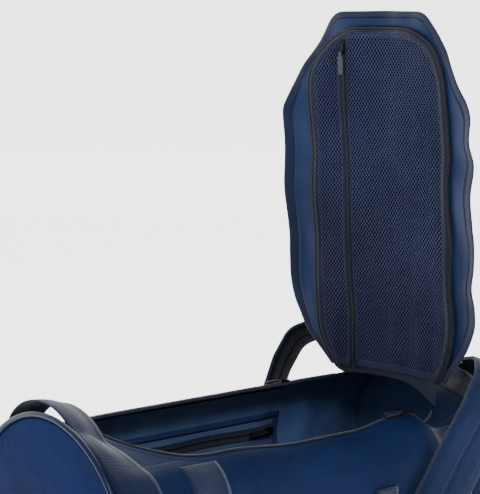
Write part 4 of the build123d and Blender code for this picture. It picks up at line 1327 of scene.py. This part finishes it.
def build_handle(name, axis, normal):
    """A webbing handle in its CAD box; axis runs along it and normal points outwards."""
    low, high = (np.array(c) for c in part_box(name))
    axis, normal = np.array(axis, float), np.array(normal, float)
    middle = (low + high) / 2 * np.abs(normal)
    half = np.abs((high - low) @ np.abs(axis)) / 2 - PATCH_WIDE / 2
    path = dense(rounded_corner_path(half, high[2], low[2] + PATCH_WIDE / 2))
    line = middle + path[:, :1] * axis + path[:, 1:] * np.array([0, 0, 1.0])
    turn = np.gradient(path, axis=0)
    turn /= np.linalg.norm(turn, axis=1, keepdims=True)
    wide = turn[:, 1:] * axis - turn[:, :1] * np.array([0, 0, 1.0])
    if np.cross(wide[0], line[1] - line[0]) @ normal < 0:
        wide = -wide
    handle = swept(f"{name}_webbing", line, wide, flat_profile(PATCH_WIDE - 0.001, 0.0021, 12), "webbing", name)
    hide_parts(name)
    lines = [(line + wide * k * 0.0155 + normal * 0.00075, normal) for k in (-1, 1)]
    stitches(f"{name}_stitches", lines, body=name, pitch=0.0048, lift=0.0002)
    return line


def build_grip(name, axis, normal, body):
    low, high = (np.array(c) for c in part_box(name))
    axis, normal = np.array(axis, float), np.array(normal, float)
    middle = (low + high) / 2
    length = (high - low) @ np.abs(axis)
    line = middle + np.linspace(-0.5, 0.5, 40)[:, None] * length * axis
    across = np.linspace(-1, 1, 15)
    bump = 0.0034 * (1 - np.abs(across) ** 3.5) - 0.0009 * np.exp(-((np.abs(across) - 0.8) / 0.07) ** 2)
    top = np.stack([across * 0.022, bump + 0.0001], -1)
    bottom = np.stack([across[::-1] * 0.0218, np.full(15, -0.0033)], -1)
    wide = np.cross(axis, normal)
    if np.cross(wide, axis) @ normal < 0:
        wide = -wide
    grip = swept(f"{name}_pad", line, wide, np.concatenate([top, bottom]), "grip", body)
    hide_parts(name)
    lines = [(line + wide * k * 0.0176 + normal * 0.0021, normal) for k in (-1, 1)]
    stitches(f"{name}_stitches", lines, body=body, pitch=0.0048)


for side, name in ((-1, "front"), (1, "back")):
    build_handle(f"{name}_handle", (1, 0, 0), (0, side, 0))
    build_grip(f"{name}_handle_grip", (1, 0, 0), (0, side, 0), f"{name}_handle")
    low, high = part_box(f"{name}_handle_patches")
    for x_middle, place in ((low.x + PATCH_WIDE / 2, "left"), (high.x - PATCH_WIDE / 2, "right")):
        points = wall_patch(x_middle, PATCH_WIDE, side, low.z, z_top=high.z, rows=20)
        patch = cloth_grid(f"{name}_{place}_patch", points, "webbing", thick=WEBBING, inward=side > 0)
        if place == "left":
            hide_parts(f"{name}_handle_patches")
        cross_stitch(f"{name}_{place}_patch_stitches", points, rows=(2, 17))
for side, name in ((-1, "left"), (1, "right")):
    build_handle(f"{name}_end_handle", (0, 1, 0), (side, 0, 0))
    low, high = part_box(f"{name}_end_patches")
    for y_middle, place in ((low.y + PATCH_WIDE / 2, "front"), (high.y - PATCH_WIDE / 2, "back")):
        y = np.linspace(y_middle - PATCH_WIDE / 2, y_middle + PATCH_WIDE / 2, 11)[None, :] * np.ones((20, 1))
        z = np.linspace(low.z, high.z, 20)[:, None] * np.ones((1, 11))
        x = np.full_like(y, low.x if side < 0 else high.x)
        points = np.stack([x, y, z], -1)
        patch = cloth_grid(f"{name}_{place}_end_patch", points, "webbing", thick=0.002, inward=side < 0)
        if place == "front":
            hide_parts(f"{name}_end_patches")
        cross_stitch(f"{name}_{place}_end_patch_stitches", points, rows=(2, 17))
print("handles done")

# %% [markdown]
# ## Shoulder straps
#
# Two padded straps arch up beside the lid and hang down the walls, so the duffel can be
# carried as a backpack. Each is tarpaulin outside and black spacer mesh inside, quilted
# by a seam down the middle. Black webbing and ladder locks adjust both ends.

# %% Padded straps and their webbing
STRAP_ORIGIN = np.array([0.302, -0.064, 0.296])
STRAP_OUT = np.array([-0.762, 0.397, 0.512]) / np.linalg.norm([-0.762, 0.397, 0.512])
STRAP_UP = np.cross(STRAP_OUT, [-0.462, -0.887, 0])
STRAP_UP /= np.linalg.norm(STRAP_UP)
STRAP_ALONG = np.cross(STRAP_UP, STRAP_OUT)


def fillet_path(points, radii, steps=14):
    """A line with its corners rounded, as (u, v) pairs in metres."""
    points = np.array(points, float) / 1000
    path = [points[0]]
    for before, corner, after, radius in zip(points, points[1:], points[2:], radii):
        a = (before - corner) / np.linalg.norm(before - corner)
        b = (after - corner) / np.linalg.norm(after - corner)
        bend = math.acos(np.clip(a @ b, -1, 1))
        cut = radius / 1000 / math.tan(bend / 2)
        centre = corner + (a + b) / np.linalg.norm(a + b) * radius / 1000 / math.sin(bend / 2)
        p, q = corner + a * cut - centre, corner + b * cut - centre
        full = math.acos(np.clip(p @ q / (p @ p), -1, 1))
        for t in np.linspace(0, 1, steps):
            path.append(centre + (p * math.sin((1 - t) * full) + q * math.sin(t * full)) / math.sin(full))
    path.append(points[-1])
    return dense(np.array(path), 0.004)


PAD_WIDE, PAD_THICK = 0.066, 0.0092
PAD_STEPS = 25
PAD_SEAM = 0.80   # the border seam, as a share of the way from the middle to the edge


def pad_profile(width, thick, steps=PAD_STEPS):
    """A quilted pad's section: soft edges, a stitched border and a middle seam."""
    across = np.linspace(-1, 1, steps)
    body = (1 - np.abs(across) ** 7) ** 0.5
    groove = 0.30 * np.exp(-((np.abs(across) - PAD_SEAM) / 0.045) ** 2) + 0.34 * np.exp(-(across / 0.05) ** 2)
    top = np.stack([across * width / 2, thick / 2 * np.maximum(body - groove, 0.12)], -1)
    return np.concatenate([top, top[::-1] * [1, -0.85]])


BLACK_RIBBON = flat_profile(0.030, 0.0016, 12)
STRAP_RUNS = {
    "shoulder_strap": ([(82, 13), (122, 26), (152, 10), (166, -34), (172, -92), (186, -172)], [30, 30, 60, 120]),
    "strap_top_webbing": ([(0, 1.2), (36, 3.6), (66, 8), (81.6, 12.8)], [60, 60]),
    "strap_low_webbing": ([(186, -172.4), (194, -226), (202, -290)], [400]),
}
for side, place in ((-1, "front"), (1, "back")):
    flip = np.array([1, -side, 1])
    across = STRAP_OUT * flip * (1 if side < 0 else -1)
    for name, (points, radii) in STRAP_RUNS.items():
        plan = fillet_path(points, radii)
        line = (STRAP_ORIGIN + plan[:, :1] * STRAP_ALONG + plan[:, 1:] * STRAP_UP) * flip
        _, wide, out = frames(line, across)
        if name == "shoulder_strap":
            piece = swept(f"{place}_shoulder_pad", line, across, pad_profile(PAD_WIDE, PAD_THICK), "strap_pad")
            piece.data.materials.append(MATERIAL["air_mesh"])
            faces = np.arange(len(piece.data.polygons))
            around_pad = 2 * PAD_STEPS
            inner_side = (faces % around_pad >= PAD_STEPS) & (faces < (len(line) - 1) * around_pad)
            piece.data.polygons.foreach_set("material_index", inner_side.astype(np.int32))
            lines = [(line + wide * k * PAD_WIDE / 2 * PAD_SEAM + out * 0.0030, out) for k in (-1, 1)]
            lines.append((line + out * 0.0029, out))
            stitches(f"{place}_shoulder_pad_stitches", lines, pitch=0.0046)
            for k, edge in ((-1, "inner"), (1, "outer")):
                trim_line = line + wide * k * (PAD_WIDE / 2 - 0.0005)
                trim = swept(f"{place}_shoulder_pad_{edge}_trim", trim_line, across, ROLL, "binding")
        else:
            piece = swept(f"{place}_{name}_ribbon", line, across, BLACK_RIBBON, "black_webbing")
        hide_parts(f"{place}_{name}")
print("straps done")

# %% [markdown]
# ## Hardware
#
# Sliders, pull tabs, ladder locks and the base board are the frame's own solids. They
# already have the right shape, so they only get their moulding radii and a finish.

# %% Finishes of the frame's own solids
for name, node in frame["nodes"].items():
    if name.endswith("_slider"):
        finish, radius = "slider_metal", 0.0004
    elif name.endswith("_pull"):
        finish, radius = "pull_tab", 0.0005
    elif name.endswith("_locks"):
        finish, radius = "black_plastic", 0.0008
    elif name == "base_board":
        finish, radius = "board", 0.0008
    else:
        continue
    node.data.materials.clear()
    node.data.materials.append(MATERIAL[finish])
    bevel = node.modifiers.new("moulding_radius", "BEVEL")
    bevel.width = radius
    bevel.segments = 2
    bevel.limit_method = "ANGLE"
